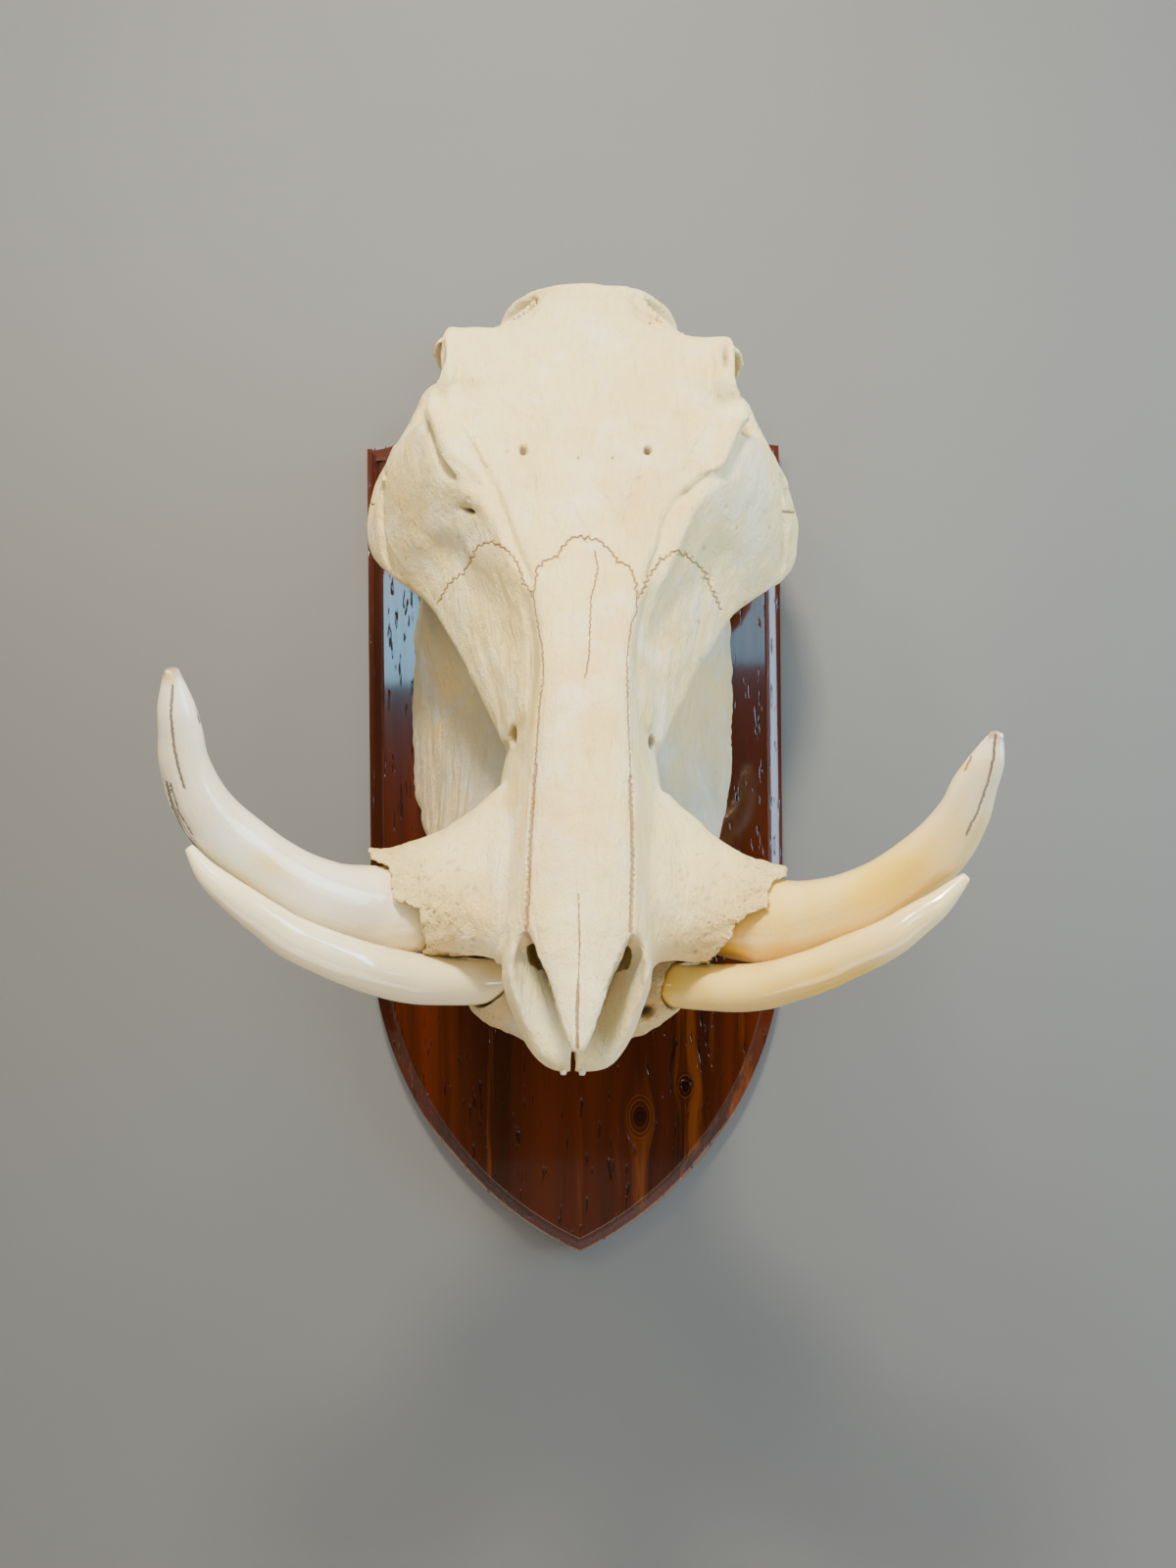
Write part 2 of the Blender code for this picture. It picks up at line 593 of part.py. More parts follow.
skull = bpy.data.objects.new("Skull pose", None)
bpy.context.scene.collection.objects.link(skull)
skull.location = NOSE_TIP
skull.rotation_euler = (SKULL_PITCH, SKULL_LEAN, SKULL_TWIST)
jaw_pose = bpy.data.objects.new("Jaw pose", None)
bpy.context.scene.collection.objects.link(jaw_pose)
jaw_pose.parent = skull
jaw_pose.rotation_euler = (0.0, 0.0, JAW_TURN)

cranium = new_object("cranium", build_cranium, skull, bone)
mandible = new_object("mandible", build_jaw, jaw_pose, jaw_bone)
fuse(cranium, 4)
fuse(mandible, 5)
cut(cranium, new_cutter("Nasal cavity", lambda bm: ellipse_tunnel(bm, NASAL_CAVITY), skull))
cut(cranium, new_cutter("Spinal opening", lambda bm: ellipse_tunnel(bm, SPINAL_OPENING), skull))
cut(cranium, new_cutter("Front notch", front_notch, skull))
bpy.context.view_layer.update()
thin_out(cranium, CRANIUM_FACES)
thin_out(mandible, JAW_FACES)

tusks = {
    "upper_tusk_left": (UPPER_TUSK_LEFT, [cranium]),
    "upper_tusk_right": (UPPER_TUSK_RIGHT, [cranium]),
    "lower_tusk_left": (LOWER_TUSK_LEFT, [mandible, cranium]),
    "lower_tusk_right": (LOWER_TUSK_RIGHT, [mandible, cranium]),
}
for name, (stations, holders) in tusks.items():
    new_object(name, lambda bm: rod_loft(bm, stations, 1, 2, TUSK_SEGMENTS), skull, ivory)
    socket = new_cutter(
        "Socket of " + name, lambda bm: rod_loft(bm, stations, 1, 2, TUSK_SEGMENTS, SOCKET_GAP), skull)
    for holder in holders:
        cut(holder, socket)

for side, word in ((-1, "left"), (1, "right")):
    place = [((x * side + INCISOR_SHIFT, s, h), radius) for (x, s, h), radius in INCISOR]
    new_object("incisor_" + word, lambda bm: rod_loft(bm, place, 1, 2, 8), skull, enamel)
    socket = new_cutter(
        "Socket of incisor_" + word, lambda bm: rod_loft(bm, place, 1, 2, 8, SOCKET_GAP), skull)
    cut(cranium, socket)
    molars = (
        ("upper_cheek_teeth_", UPPER_CHEEK_TEETH, skull, cranium),
        ("lower_cheek_teeth_", LOWER_CHEEK_TEETH, jaw_pose, mandible),
    )
    for name, stations, pose, holder in molars:
        new_object(name + word, lambda bm: tooth_row(bm, stations, side), pose, enamel)
        socket = new_cutter(
            "Socket of " + name + word, lambda bm: tooth_row(bm, stations, side, SOCKET_GAP / MM), pose)
        cut(holder, socket)

shield = new_object("shield_plaque", build_shield, None, wood)
for name, (x, z, length) in SCREWS.items():
    screw = new_object(name, lambda bm: screw_rod(bm, screw_steps(length)), None, steel)
    hole = new_cutter("Hole for " + name, lambda bm: screw_rod(bm, screw_steps(length, SCREW_GAP)))
    screw.location = (x, 0.0, z)
    hole.location = (x, 0.0, z)
    cut(shield, hole)
    if name == "mounting_screw_top":
        cut(cranium, hole)
    else:
        cut(mandible, hole)

for made in bpy.data.objects:
    if made.type == "MESH" and not made.hide_render:
        made.data.set_sharp_from_angle(angle=math.radians(50.0))
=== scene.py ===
"""Warthog skull with its lower jaw and four tusks, hung on a varnished wooden wall shield.

The bones are shaped lying down in a skull frame, in millimetres: x to the side, s backwards
from the tip of the nose bones, h up from the line between this tip and the crest at the back
of the head. Fine lines, creases and holes are placed on a front drawing of 1200 x 1600 units,
as the skull looks from the camera.
"""
import math

import bmesh
import bpy
import numpy as np
from bpy.props import FloatProperty, FloatVectorProperty, IntProperty, PointerProperty
from mathutils import Euler, Matrix, Vector
from mathutils.bvhtree import BVHTree


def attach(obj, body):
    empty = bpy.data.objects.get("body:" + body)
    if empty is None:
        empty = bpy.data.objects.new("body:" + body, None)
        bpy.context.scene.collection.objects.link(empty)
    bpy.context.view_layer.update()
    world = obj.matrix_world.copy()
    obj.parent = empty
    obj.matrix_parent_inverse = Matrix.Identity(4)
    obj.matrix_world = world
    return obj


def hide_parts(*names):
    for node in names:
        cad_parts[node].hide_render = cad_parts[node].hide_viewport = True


bl_info = {
    "name": "Warthog Skull Mount",
    "version": (1, 0, 0),
    "blender": (4, 5, 0),
    "location": "3D View > Sidebar > Skull Mount",
    "description": "Builds a warthog skull, its tusks and its wall shield around a packed frame",
    "category": "Add Mesh",
}

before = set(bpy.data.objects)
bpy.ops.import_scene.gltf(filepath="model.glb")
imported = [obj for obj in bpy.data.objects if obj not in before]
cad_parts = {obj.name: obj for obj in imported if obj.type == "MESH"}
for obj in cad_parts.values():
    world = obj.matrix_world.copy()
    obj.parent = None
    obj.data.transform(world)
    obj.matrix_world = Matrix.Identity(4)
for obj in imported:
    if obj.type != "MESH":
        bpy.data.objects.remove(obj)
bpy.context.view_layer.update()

MM = 0.001

# How the skull hangs
NOSE_TIP = (0.0034, -0.3361, -0.0871)
SKULL_PITCH = math.radians(62.0)
SKULL_LEAN = math.radians(1.9)
SKULL_TWIST = math.radians(1.15)
JAW_TURN = math.radians(0.6)
SKULL_POSE = (
    Matrix.Translation(NOSE_TIP)
    @ Euler((SKULL_PITCH, SKULL_LEAN, SKULL_TWIST)).to_matrix().to_4x4()
)
JAW_POSE = SKULL_POSE @ Matrix.Rotation(JAW_TURN, 4, "Z")

# The eye point of the front drawing, which is also the camera's place
EYE = (0.0076, -0.747, 0.00515)
EYE_ROLL = math.radians(0.5)
DRAWING_WIDTH = 1200.0
DRAWING_HEIGHT = 1600.0
DRAWING_FOCUS = 1202.0
SENSOR = 36.0

# Shield, in metres
SHIELD_WIDTH = 0.257
SHIELD_HEIGHT = 0.5735
SHIELD_THICKNESS = 0.020
CREST_HALF_WIDTH = 0.0615
SCOOP_RADIUS = 0.0715
SIDE_END_Z = -0.0867
SCOOP_SEGMENTS = 20
POINT_SEGMENTS = 56

# Half sections of the cranium's body: s, then (x, h) from the top of the midline to its underside
CRANIUM_BODY = [
    (44, [(0, 4), (11, 3), (19, -2), (24, -10), (29, -22), (31, -34), (29, -44), (20, -51), (0, -50)]),
    (70, [(0, 5), (11, 4), (20, 0), (25, -10), (31, -24), (34, -40), (32, -53), (22, -60), (0, -58)]),
    (100, [(0, 5), (10, 4), (18.5, 0), (24, -10), (31, -25), (36, -42), (35, -58), (25, -67), (0, -64)]),
    (130, [(0, 4), (9.5, 4), (17.5, 0), (22, -10), (28, -27), (34, -46), (35, -64), (26, -76), (0, -69)]),
    (160, [(0, 3), (10, 3), (18, 0), (22, -10), (27, -28), (32, -50), (34, -72), (28, -86), (0, -75)]),
    (190, [(0, 1), (10, 2), (20, 0), (24, -9), (29, -28), (33, -52), (36, -78), (31, -96), (0, -82)]),
    (220, [(0, -1), (15, 0), (30, -2), (34, -10), (36, -30), (36, -54), (38, -82), (33, -102), (0, -88)]),
    (250, [(0, -1), (21, 0), (40, -3), (43, -12), (42, -32), (38, -56), (39, -84), (34, -104), (0, -92)]),
    (280, [(0, 0), (25, 0), (48, -4), (50, -14), (48, -34), (43, -56), (38, -84), (31, -102), (0, -96)]),
    (310, [(0, 1), (25, 0), (46, -4), (48, -14), (46, -34), (43, -56), (38, -80), (24, -100), (0, -100)]),
    (338, [(0, 2), (23, 1), (44, -4), (40, -14), (35, -34), (40, -56), (40, -80), (26, -102), (0, -106)]),
    (362, [(0, 2), (18, 1), (34, -4), (28, -14), (28, -34), (39, -58), (44, -84), (30, -106), (0, -112)]),
    (380, [(0, 1), (15, 0), (25, -5), (24, -16), (29, -36), (42, -60), (44, -86), (28, -108), (0, -114)]),
    (388, [(0, -2), (13, -3), (22, -9), (24, -20), (29, -38), (37, -60), (35, -82), (20, -100), (0, -104)]),
]

# Forehead plate: s, half width, height on the midline, height at the edge
FOREHEAD = [
    (205, 25, 0, -2), (225, 32, 0, -2), (242, 38, 0, -2), (256, 43.5, 1, -2), (266, 53, 1, -2),
    (272, 60, 1, -1.5), (280, 65.5, 1, -1), (289, 69, 2, 0), (300, 72.5, 2, -1), (309, 77.5, 3, -4),
    (316, 76, 3, -3), (323, 70.5, 3, 3), (342, 70.5, 3, 6), (354, 70, 3, 3),
]
FOREHEAD_EDGE = 8.0

# The plate's narrow part between the two temporal hollows
NECK = [
    (338, 60, 3, 3), (350, 53, 3, 3), (356, 46, 3, 2), (363, 40.5, 3, 1), (372, 34, 2, 0),
    (381, 29.5, 1, -2), (391, 28, -1, -5),
]
NECK_EDGE = 5.0

# Nose bones: s, half width, height on the midline
NOSE_BONES = [
    (-1, 2, -0.5), (6.5, 5.4, 1), (15.5, 8.6, 2.5), (26, 12.2, 3.3), (33.5, 15.3, 3.7), (40, 17.6, 4),
    (46, 19.4, 4), (64, 20, 4.5),
]
NOSE_BONE_THICKNESS = 4.5
NOSE_BONE_ARCH = 0.30

# Premaxilla trough round the nasal opening: s, rim (x, h), widest x, floor half width, floor h
PREMAXILLA = [
    (2, 5, -32, 9, 6, -40), (5.5, 10, -30, 15, 9, -43), (13, 16.5, -25.5, 20.5, 13, -46),
    (23, 22, -18.5, 25, 16, -48), (33, 25, -13, 28.5, 18, -50), (43, 23, -9, 29.5, 19, -51),
    (54, 23, -8, 31, 19, -54),
]
PREMAXILLA_FLOOR = 15.0
# Notch between the two front teeth, cut out: s, middle h, half width, half height
FRONT_NOTCH = [(-4, -36, 1.5, 14), (6, -36, 1.3, 13), (11, -38, 0.5, 10)]

# Straps of bone: two edges (x, s, h), thickness, outward bulge
CHEEK = [
    ((20, 146, -14), (33, 148, -50), 9, 0), ((21, 172, -13), (42, 172, -57), 9, 0),
    ((25, 200, -9), (54, 201, -64), 10, 0), ((36, 236, -6), (72, 239, -75), 11, -1),
    ((43, 252, -6), (86, 260, -86), 11, 0), ((53, 266, -6), (100, 276, -94), 11, 1),
    ((62, 282, -7), (110, 292, -101), 12, 2), ((69, 298, -11), (113, 305, -102), 12, 3),
    ((74, 310, -18), (110, 316, -96), 12, 3), ((78, 321, -30), (104, 324, -83), 12, 3),
    ((85, 329, -42), (97, 328, -68), 11, 2),
]
CHEEK_ARCH = [
    ((92, 296, -62), (112, 294, -99), 12, 0), ((94, 314, -62), (114.5, 313, -98), 12, 0),
    ((94, 328, -63), (113.5, 328, -97), 12, 0), ((93, 340, -64), (110.5, 340, -96), 12, 0),
    ((91, 350, -65), (104, 351, -93), 12, 0), ((88, 358, -64), (98, 360, -90), 13, 0),
    ((84, 367, -61), (92, 369, -88), 14, 0), ((77, 375, -55), (84, 377, -86), 15, 0),
    ((46, 378, -52), (48, 378, -90), 16, 0),
]
POSTORBITAL_HOOK = [
    ((62, 344, 0), (60, 352, -4), 6, 0), ((69, 348, -1), (64, 356, -6), 5, 0),
    ((75, 349.5, -5), (67, 358, -9), 4.5, 0), ((77.5, 350.5, -11), (69, 358.5, -15), 4, 0),
    ((77, 350, -17), (70, 357, -21), 4, 0), ((74, 348.5, -21), (70, 354, -25), 3.5, 0),
]
NUCHAL_CREST = [
    ((-3, 391, 0), (-3, 376, -16), 8, 0), ((18, 392, -2), (16, 376, -18), 8, 0),
    ((32, 394, -9), (27, 377, -24), 8, 0), ((42, 396, -21), (33, 376, -32), 7, 0),
    ((47, 394, -36), (38, 374, -44), 7, 0), ((49, 388, -54), (42, 370, -60), 8, 0),
    ((49, 380, -72), (42, 366, -78), 9, 0),
]
# Sleeve of bone round each upper tusk: x, then centre s, h, and half sizes along s and h
TUSK_SLEEVE = [
    (14, 92, -38, 48, 24), (31, 88.5, -44, 43, 25.5), (40, 84.5, -47, 36.5, 25.5),
    (52, 78.5, -50, 29, 25), (62, 74.5, -50.5, 25.2, 24), (71, 72.5, -48.5, 23.8, 22.6),
]
# How far out the sleeve's rim is at each s, left and right
RIM_LEFT = [
    (44, 58), (53, 60.5), (60, 62), (63.5, 65), (65.5, 71.5), (72, 73.5), (79, 75.5), (84, 80),
    (91, 84.5), (99, 86),
]
RIM_RIGHT = [
    (42, 51), (50, 58.5), (57, 60.5), (61, 65), (64, 73), (72, 74.5), (76, 77), (80, 82),
    (90, 84), (99, 85),
]
# How the sleeves lean: height lost for each millimetre backwards, and how far the right one drops
SLEEVE_TILT = 0.2
SLEEVE_DROP = 3.0
# The sleeves are made this much longer, then broken off along these lines of the drawing
RIM_SPARE = 5.0
BREAK_LEFT = [
    (377, 850), (376, 867), (379, 877), (386, 880), (395, 882), (398, 892), (397, 901), (402, 917),
    (413, 921), (427, 928), (430, 947), (435, 964), (431, 975), (433, 992),
]
BREAK_RIGHT = [
    (806, 850), (805, 880), (802, 893), (788, 899), (784, 908), (782, 926), (761, 934), (750, 942),
    (747, 957), (732, 973), (724, 981), (724, 998),
]
# What is broken off reaches from each line to here on the drawing, and this deep into the room
BREAK_OUTSIDE_LEFT = 320
BREAK_OUTSIDE_RIGHT = 860
BREAK_DEPTHS = (0.30, 0.62)
BREAK_WAVE = 0.8
EAR_PROCESS = [((37, 362, -92), 12), ((39, 358, -122), 9), ((41, 352, -146), 6.5), ((42, 350, -157), 3.5)]
CONDYLE_CENTRE = (14, 380, -108)
CONDYLE_SIZE = (11, 13, 15)

# Nasal cavity and spinal opening, cut out: s, centre h, half width, half height
NASAL_CAVITY = [
    (38, -24, 19, 14), (50, -25, 22, 18), (70, -26, 19, 18), (100, -28, 16, 17), (135, -31, 11, 13),
]
SPINAL_OPENING = [(400, -92, 12, 11), (372, -90, 11, 10), (345, -86, 12, 12)]

# Lower jaw
JAW_FRONT = [
    (23, [(0, -70), (8, -70), (15, -72), (14, -80), (0, -83)]),
    (28, [(0, -68), (14, -68), (27, -71), (25, -84), (0, -90)]),
    (34, [(0, -68), (18, -67), (37, -70), (35, -87), (0, -96)]),
    (42, [(0, -70), (20, -67), (42, -69), (40, -90), (0, -103)]),
    (60, [(0, -78), (18, -73), (37, -74), (39, -100), (0, -114)]),
    (84, [(0, -98), (16, -84), (30, -82), (44, -112), (0, -125)]),
    (98, [(0, -110), (18, -90), (30, -88), (48, -120), (0, -122)]),
]
JAW_BODY = [
    ((24, 78, -84), (42, 78, -112), 17, 0), ((26, 112, -94), (53, 112, -140), 17, 1),
    ((29, 145, -108), (68, 145, -172), 17, 2), ((30, 175, -116), (79, 175, -194), 18, 3),
    ((32, 205, -120), (87, 206, -206), 18, 4), ((38, 235, -120), (91, 236, -211), 18, 4),
    ((50, 262, -112), (92, 264, -210), 17, 3), ((58, 286, -92), (92, 288, -203), 15, 2),
    ((63, 308, -74), (91, 308, -189), 13, 1), ((67, 326, -92), (88, 324, -174), 11, 0),
    ((71, 338, -104), (82, 338, -150), 11, 0),
]
JAW_SLEEVE = [((18, 76, -97), 11), ((28, 59, -84), 13), ((37, 50, -74), 13.2), ((43, 46, -70), 12.6)]
JAW_CONDYLE = [((60, 340, -103), 6.5), ((73, 341, -101), 8), ((87, 340, -104), 6.5)]

# Tusks: (x, s, h) along the middle, radius
UPPER_TUSK_LEFT = [
    ((-38, 88, -58), 14), ((-56, 76, -56), 17.5), ((-74, 69.5, -49), 18.2), ((-86, 68, -42), 16.8),
    ((-100, 66, -29), 15.2), ((-115, 68, -13), 13.6), ((-131, 75, 7), 12.1), ((-138.5, 81, 22), 10.5),
    ((-142, 89, 36), 8.9), ((-142, 96, 46), 7.7), ((-142, 102, 55), 6.2), ((-142, 109, 65), 2.8),
]
UPPER_TUSK_RIGHT = [
    ((40, 88, -58), 14), ((58, 76, -56), 17.5), ((75, 69, -48), 18.2), ((86, 65.5, -41), 16.7),
    ((97, 64, -31), 15.0), ((109, 64.5, -19), 13.5), ((121, 68, -7), 12.5), ((133, 75, 10), 11.1),
    ((138.5, 82, 25), 9.2), ((140, 88, 36), 7.9), ((142, 93, 47), 6.0), ((143, 98, 55), 2.8),
]
LOWER_TUSK_LEFT = [
    ((-18, 76, -98), 7), ((-26, 59, -84), 9), ((-36, 48, -71), 9.5), ((-54, 42.5, -57), 10.0),
    ((-71, 40, -44), 10.1), ((-88, 40, -29), 9.3), ((-106, 43, -14), 8.1), ((-116, 47, -4), 6.9),
    ((-126, 52, 5), 5.7), ((-135, 58, 12), 4.3), ((-141, 65, 17), 2.0),
]
LOWER_TUSK_RIGHT = [
    ((22, 76, -98), 7), ((31, 59, -84), 9), ((41, 48, -71), 9.5), ((59, 41.5, -56), 9.8),
    ((74, 38.5, -43), 9.4), ((89, 38.5, -27), 8.9), ((102, 41, -15), 8.3), ((114, 44, -3), 7.4),
    ((123, 49, 4), 6.3), ((131, 54, 9), 4.9), ((140, 62, 14), 2.0),
]
# Room left round the tusks in the bones, in metres
UPPER_SOCKET_GAP = 0.0020
LOWER_SOCKET_GAP = 0.0012
# Screws through the shield: x, z and length in metres
SCREWS = [(-0.0880, 0.074, 0.0345), (0.0880, 0.072, 0.0310), (0.0060, 0.180, 0.0780)]
# The notch between the two front teeth lies this far beside the skull's middle
INCISOR_SHIFT = -1.3

# Seams where bones met, on the front drawing: points, half width, waviness
SEAMS = [
    ([(544, 608), (546, 590), (547, 580), (557, 572), (569, 567), (576, 555), (585, 548), (600, 549),
      (612, 552), (622, 561), (631, 572), (642, 577), (647, 589), (650, 603)], 0.7, 2.0),
    ([(446, 617), (451, 608), (457, 596), (469, 588), (479, 577), (485, 561), (497, 554), (508, 556),
      (519, 563), (529, 577), (535, 596), (544, 611)], 0.65, 2.0),
    ([(652, 611), (662, 589), (672, 574), (689, 563), (700, 566), (716, 580), (725, 599),
      (737, 622)], 0.65, 2.0),
    ([(544, 611), (545, 619), (548, 637), (553, 662), (554, 694), (550, 719), (548, 750),
      (546, 779)], 0.55, 0.8),
    ([(546, 779), (544, 801), (542, 829), (540, 860), (539, 891), (538, 916), (536, 949)], 1.4, 0.8),
    ([(650, 603), (650, 625), (645, 637), (642, 656), (640, 675), (641, 712), (642, 750),
      (644, 791)], 0.5, 0.8),
    ([(644, 791), (645, 822), (646, 854), (646, 894), (645, 922), (644, 951)], 1.4, 0.8),
    ([(607, 562), (610, 581), (607, 597), (603, 609), (602, 641), (601, 669), (597, 692)], 0.5, 0.7),
    ([(590, 913), (591, 947), (591, 979), (590, 1004)], 0.5, 0.4),
    ([(590, 1004), (589, 1029), (589, 1070)], 1.1, 0.25),
    ([(482, 530), (490, 546), (489, 557)], 0.35, 0.3),
    ([(812, 523), (803, 522)], 0.9, 0.3),
    ([(369, 514), (381, 515)], 0.9, 0.3),
]

# Broad ridges and furrows on the drawing: points, width, height in millimetres, share faded at the ends
BROAD_STROKES = [
    ([(479, 449), (491, 474), (504, 499), (513, 524), (522, 549), (535, 580), (543, 604)], 4.5, -2.6, 0.15),
    ([(739, 455), (725, 483), (706, 499), (691, 511), (681, 530), (675, 558), (664, 585),
      (655, 600)], 4.5, -2.6, 0.15),
    ([(433, 414), (444, 433), (450, 455), (456, 467), (466, 480), (478, 489)], 5.0, 2.6, 0.2),
    ([(438, 436), (444, 462), (454, 480), (470, 494)], 5.0, -2.8, 0.25),
    ([(759, 422), (750, 436), (742, 455), (735, 471), (722, 486)], 5.0, 2.4, 0.2),
    ([(765, 440), (756, 460), (744, 480), (726, 494)], 7.0, -1.3, 0.3),
    ([(540, 480), (544, 505), (549, 530), (550, 549)], 4.0, -0.7, 0.2),
    ([(660, 475), (653, 490), (645, 510), (640, 530), (639, 549)], 4.0, -0.7, 0.2),
    ([(488, 830), (492, 880), (490, 940)], 12.0, -1.5, 0.2),
    ([(700, 845), (697, 890), (700, 945)], 12.0, -1.3, 0.2),
]
# Shallow hollows beside the nose: centre, radii, depth, lean
BROAD_DENTS = [((522, 640), (18, 60), 2.0, -0.25), ((672, 640), (18, 60), 2.0, 0.25)]

# Soft ridges, hollows and furrows on the drawing: points, width, height
RIDGE_STRENGTH = 1.5
RIDGE_FADE = 0.2
RIDGES = [
    ([(533, 462), (540, 486), (546, 515), (551, 549)], 5.0, -0.9),
    ([(664, 462), (655, 483), (646, 508), (640, 549)], 5.0, -0.9),
    ([(484, 492), (500, 520), (512, 548), (524, 585), (538, 615)], 6.0, 1.0),
    ([(727, 490), (708, 515), (693, 545), (683, 580), (664, 612)], 6.0, 1.0),
    ([(457, 345), (457, 372), (458, 395), (458, 420)], 3.5, 1.6),
    ([(468, 350), (468, 375), (467, 400)], 5.0, -1.0),
    ([(734, 350), (733, 372), (733, 395), (736, 415)], 3.5, 1.6),
    ([(723, 352), (724, 375), (725, 400)], 5.0, -1.0),
    ([(478, 345), (530, 352), (600, 356), (660, 352), (720, 348)], 12.0, -1.0),
    ([(590, 640), (592, 720), (592, 800), (592, 880)], 10.0, -0.5),
    ([(392, 502), (400, 470), (408, 448)], 4.0, 1.0),
    ([(806, 502), (798, 478), (790, 452)], 4.0, 1.0),
    ([(440, 545), (470, 580), (500, 620), (520, 680)], 16.0, -1.6),
    ([(752, 545), (725, 580), (695, 620), (672, 680)], 16.0, -1.6),
    ([(470, 850), (500, 820), (522, 800)], 10.0, 0.8),
    ([(720, 855), (695, 830), (672, 806)], 10.0, 0.8),
    ([(516, 955), (508, 985), (512, 1010)], 3.0, 0.8),
]

# The edges of the nose bones over the nasal openings, and the side on which the opening lies
NOSE_EDGES = [
    ([(538, 949), (544, 960), (549, 976), (558, 997), (567, 1026), (575, 1051), (583, 1068),
      (590, 1074)], -1),
    ([(644, 952), (635, 963), (630, 976), (617, 1010), (605, 1041), (599, 1060), (592, 1074)], 1),
]
# Small holes for vessels and nerves: centre, radii, depth, lean
HOLES = [
    ((534, 459), (3.4, 4.2), 4.0, 0.0), ((661, 459), (3.6, 3.8), 4.0, 0.0),
    ((590, 467), (1.3, 1.5), 1.2, 0.0), ((625, 467), (1.2, 1.3), 1.0, 0.0),
    ((476, 522), (6.0, 2.6), 3.2, 0.35), ((523, 750), (2.8, 8.0), 6.0, 0.0),
    ((665, 757), (2.2, 6.0), 5.0, 0.0), ((664, 326), (1.4, 1.4), 1.0, 0.0),
]
# Hollows darkened with painted shade: centre, radii, depth, lean, darkness of the painted shade
PAINTED_SHADE_HOLLOWS = [
    ((451, 359), (2.8, 12.0), 2.5, 0.0, 0.75), ((741, 362), (2.8, 12.0), 2.5, 0.0, 0.75),
    ((533, 315), (22.0, 9.0), 4.0, -0.55, 0.20), ((661, 317), (22.0, 9.0), 4.0, 0.55, 0.20),
    ((386, 883), (7.0, 3.0), 1.5, 0.3, 0.7), ((722, 414), (9.0, 4.0), 0.6, 0.4, 0.12),
    ((697, 502), (4.0, 3.0), 0.6, 0.0, 0.15), ((476, 522), (12.0, 8.0), 1.0, 0.3, 0.06),
]
# Sharper ridges and furrows, shaped after the mesh is made finer: points, width, height
CREASE_STRENGTH = 1.4
CREASE_FADE = 0.15
CREASES = [
    ([(394, 476), (388, 500), (387, 530), (391, 562), (402, 592)], 2.4, -2.4),
    ([(797, 478), (801, 505), (803, 535), (801, 562), (797, 584)], 2.4, -2.4),
    ([(508, 337), (526, 324), (546, 312), (566, 301)], 3.0, 1.5),
    ([(628, 303), (650, 313), (668, 325), (686, 338)], 3.0, 1.5),
    ([(536, 955), (545, 975), (553, 1000), (562, 1030), (572, 1055)], 2.2, -0.6),
    ([(506, 400), (530, 420), (566, 430)], 3.0, 0.35),
    ([(560, 520), (566, 535), (560, 547)], 2.5, -0.6),
    ([(584, 508), (592, 524), (600, 540)], 2.5, 0.5),
    ([(620, 505), (614, 522), (610, 538)], 2.5, -0.5),
    ([(470, 430), (486, 452), (500, 480)], 2.5, 0.6),
    ([(722, 430), (706, 455), (694, 482)], 2.5, 0.6),
]
# Pits in the bone: how many, the drawing's middle line, and their places beside it and down it
PIT_COUNT = 260
PIT_MIDDLE = 590
SLEEVE_PITS = ((95, 195), (868, 975))
FACE_PITS = ((60, 200), (400, 700))
FACE_PIT_SHARE = 0.35
# Points counted as far from any seam are given this distance, in units of the drawing
SEAM_REACH = 8.0
# The hole for a nerve at the front of the lower jaw: centre, radii, depth
JAW_HOLE = ((660, 1032), (7.0, 6.5), 6.0)

# Cracks of the upper tusks on the drawing: points, half width, waviness
LEFT_CRACKS = [
    ([(176, 700), (174, 730), (177, 760), (182, 785), (188, 805)], 1.1, 0.5),
    ([(200, 718), (204, 738)], 0.8, 0.5),
    ([(169, 798), (176, 825), (188, 852), (200, 866)], 1.0, 0.4),
    ([(174, 800), (182, 828), (196, 852)], 0.6, 0.4),
]
RIGHT_CRACKS = [
    ([(1016, 750), (1014, 775), (1008, 800), (998, 828), (986, 852)], 1.1, 0.5),
    ([(990, 772), (984, 786)], 0.9, 0.5),
]
# Stains of the tusks on the drawing: centre, radii, lean, strength
UPPER_LEFT_STAINS = [
    ((280, 880), (28, 12), 0.55, 0.70), ((236, 838), (20, 8), 0.9, 0.25), ((172, 693), (7, 6), 0.0, 0.9),
]
UPPER_RIGHT_STAINS = [((905, 900), (36, 16), -0.5, 0.75), ((985, 782), (8, 6), 0.0, 0.5)]
LOWER_LEFT_STAINS = [((355, 993), (8, 5), 0.3, 0.35)]
LOWER_RIGHT_STAINS = [((860, 1000), (40, 14), -0.3, 0.4)]
# Flutes along the tusks: where round it, depth, spread, and where along it they start and end
UPPER_FLUTES = [(0.9, 0.5, 0.35, 0.25, 0.90), (3.6, 0.4, 0.3, 0.2, 0.90)]
LOWER_FLUTES = [(2.2, 0.4, 0.5, 0.2, 0.95)]
# Share of the length that is worn at the tip
UPPER_CHIP = 0.07
LOWER_CHIP = 0.02

# Colours that are not settings
IVORY_CRACK = (0.10, 0.055, 0.03, 1.0)
CHIP_BROWN = (0.25, 0.12, 0.04, 1.0)
TOOTH_GROOVE = (0.30, 0.20, 0.11, 1.0)
STEEL_LIGHT = (0.55, 0.55, 0.53, 1.0)
STEEL_DARK = (0.40, 0.40, 0.39, 1.0)
SKY = (1.0, 0.985, 0.96, 1.0)

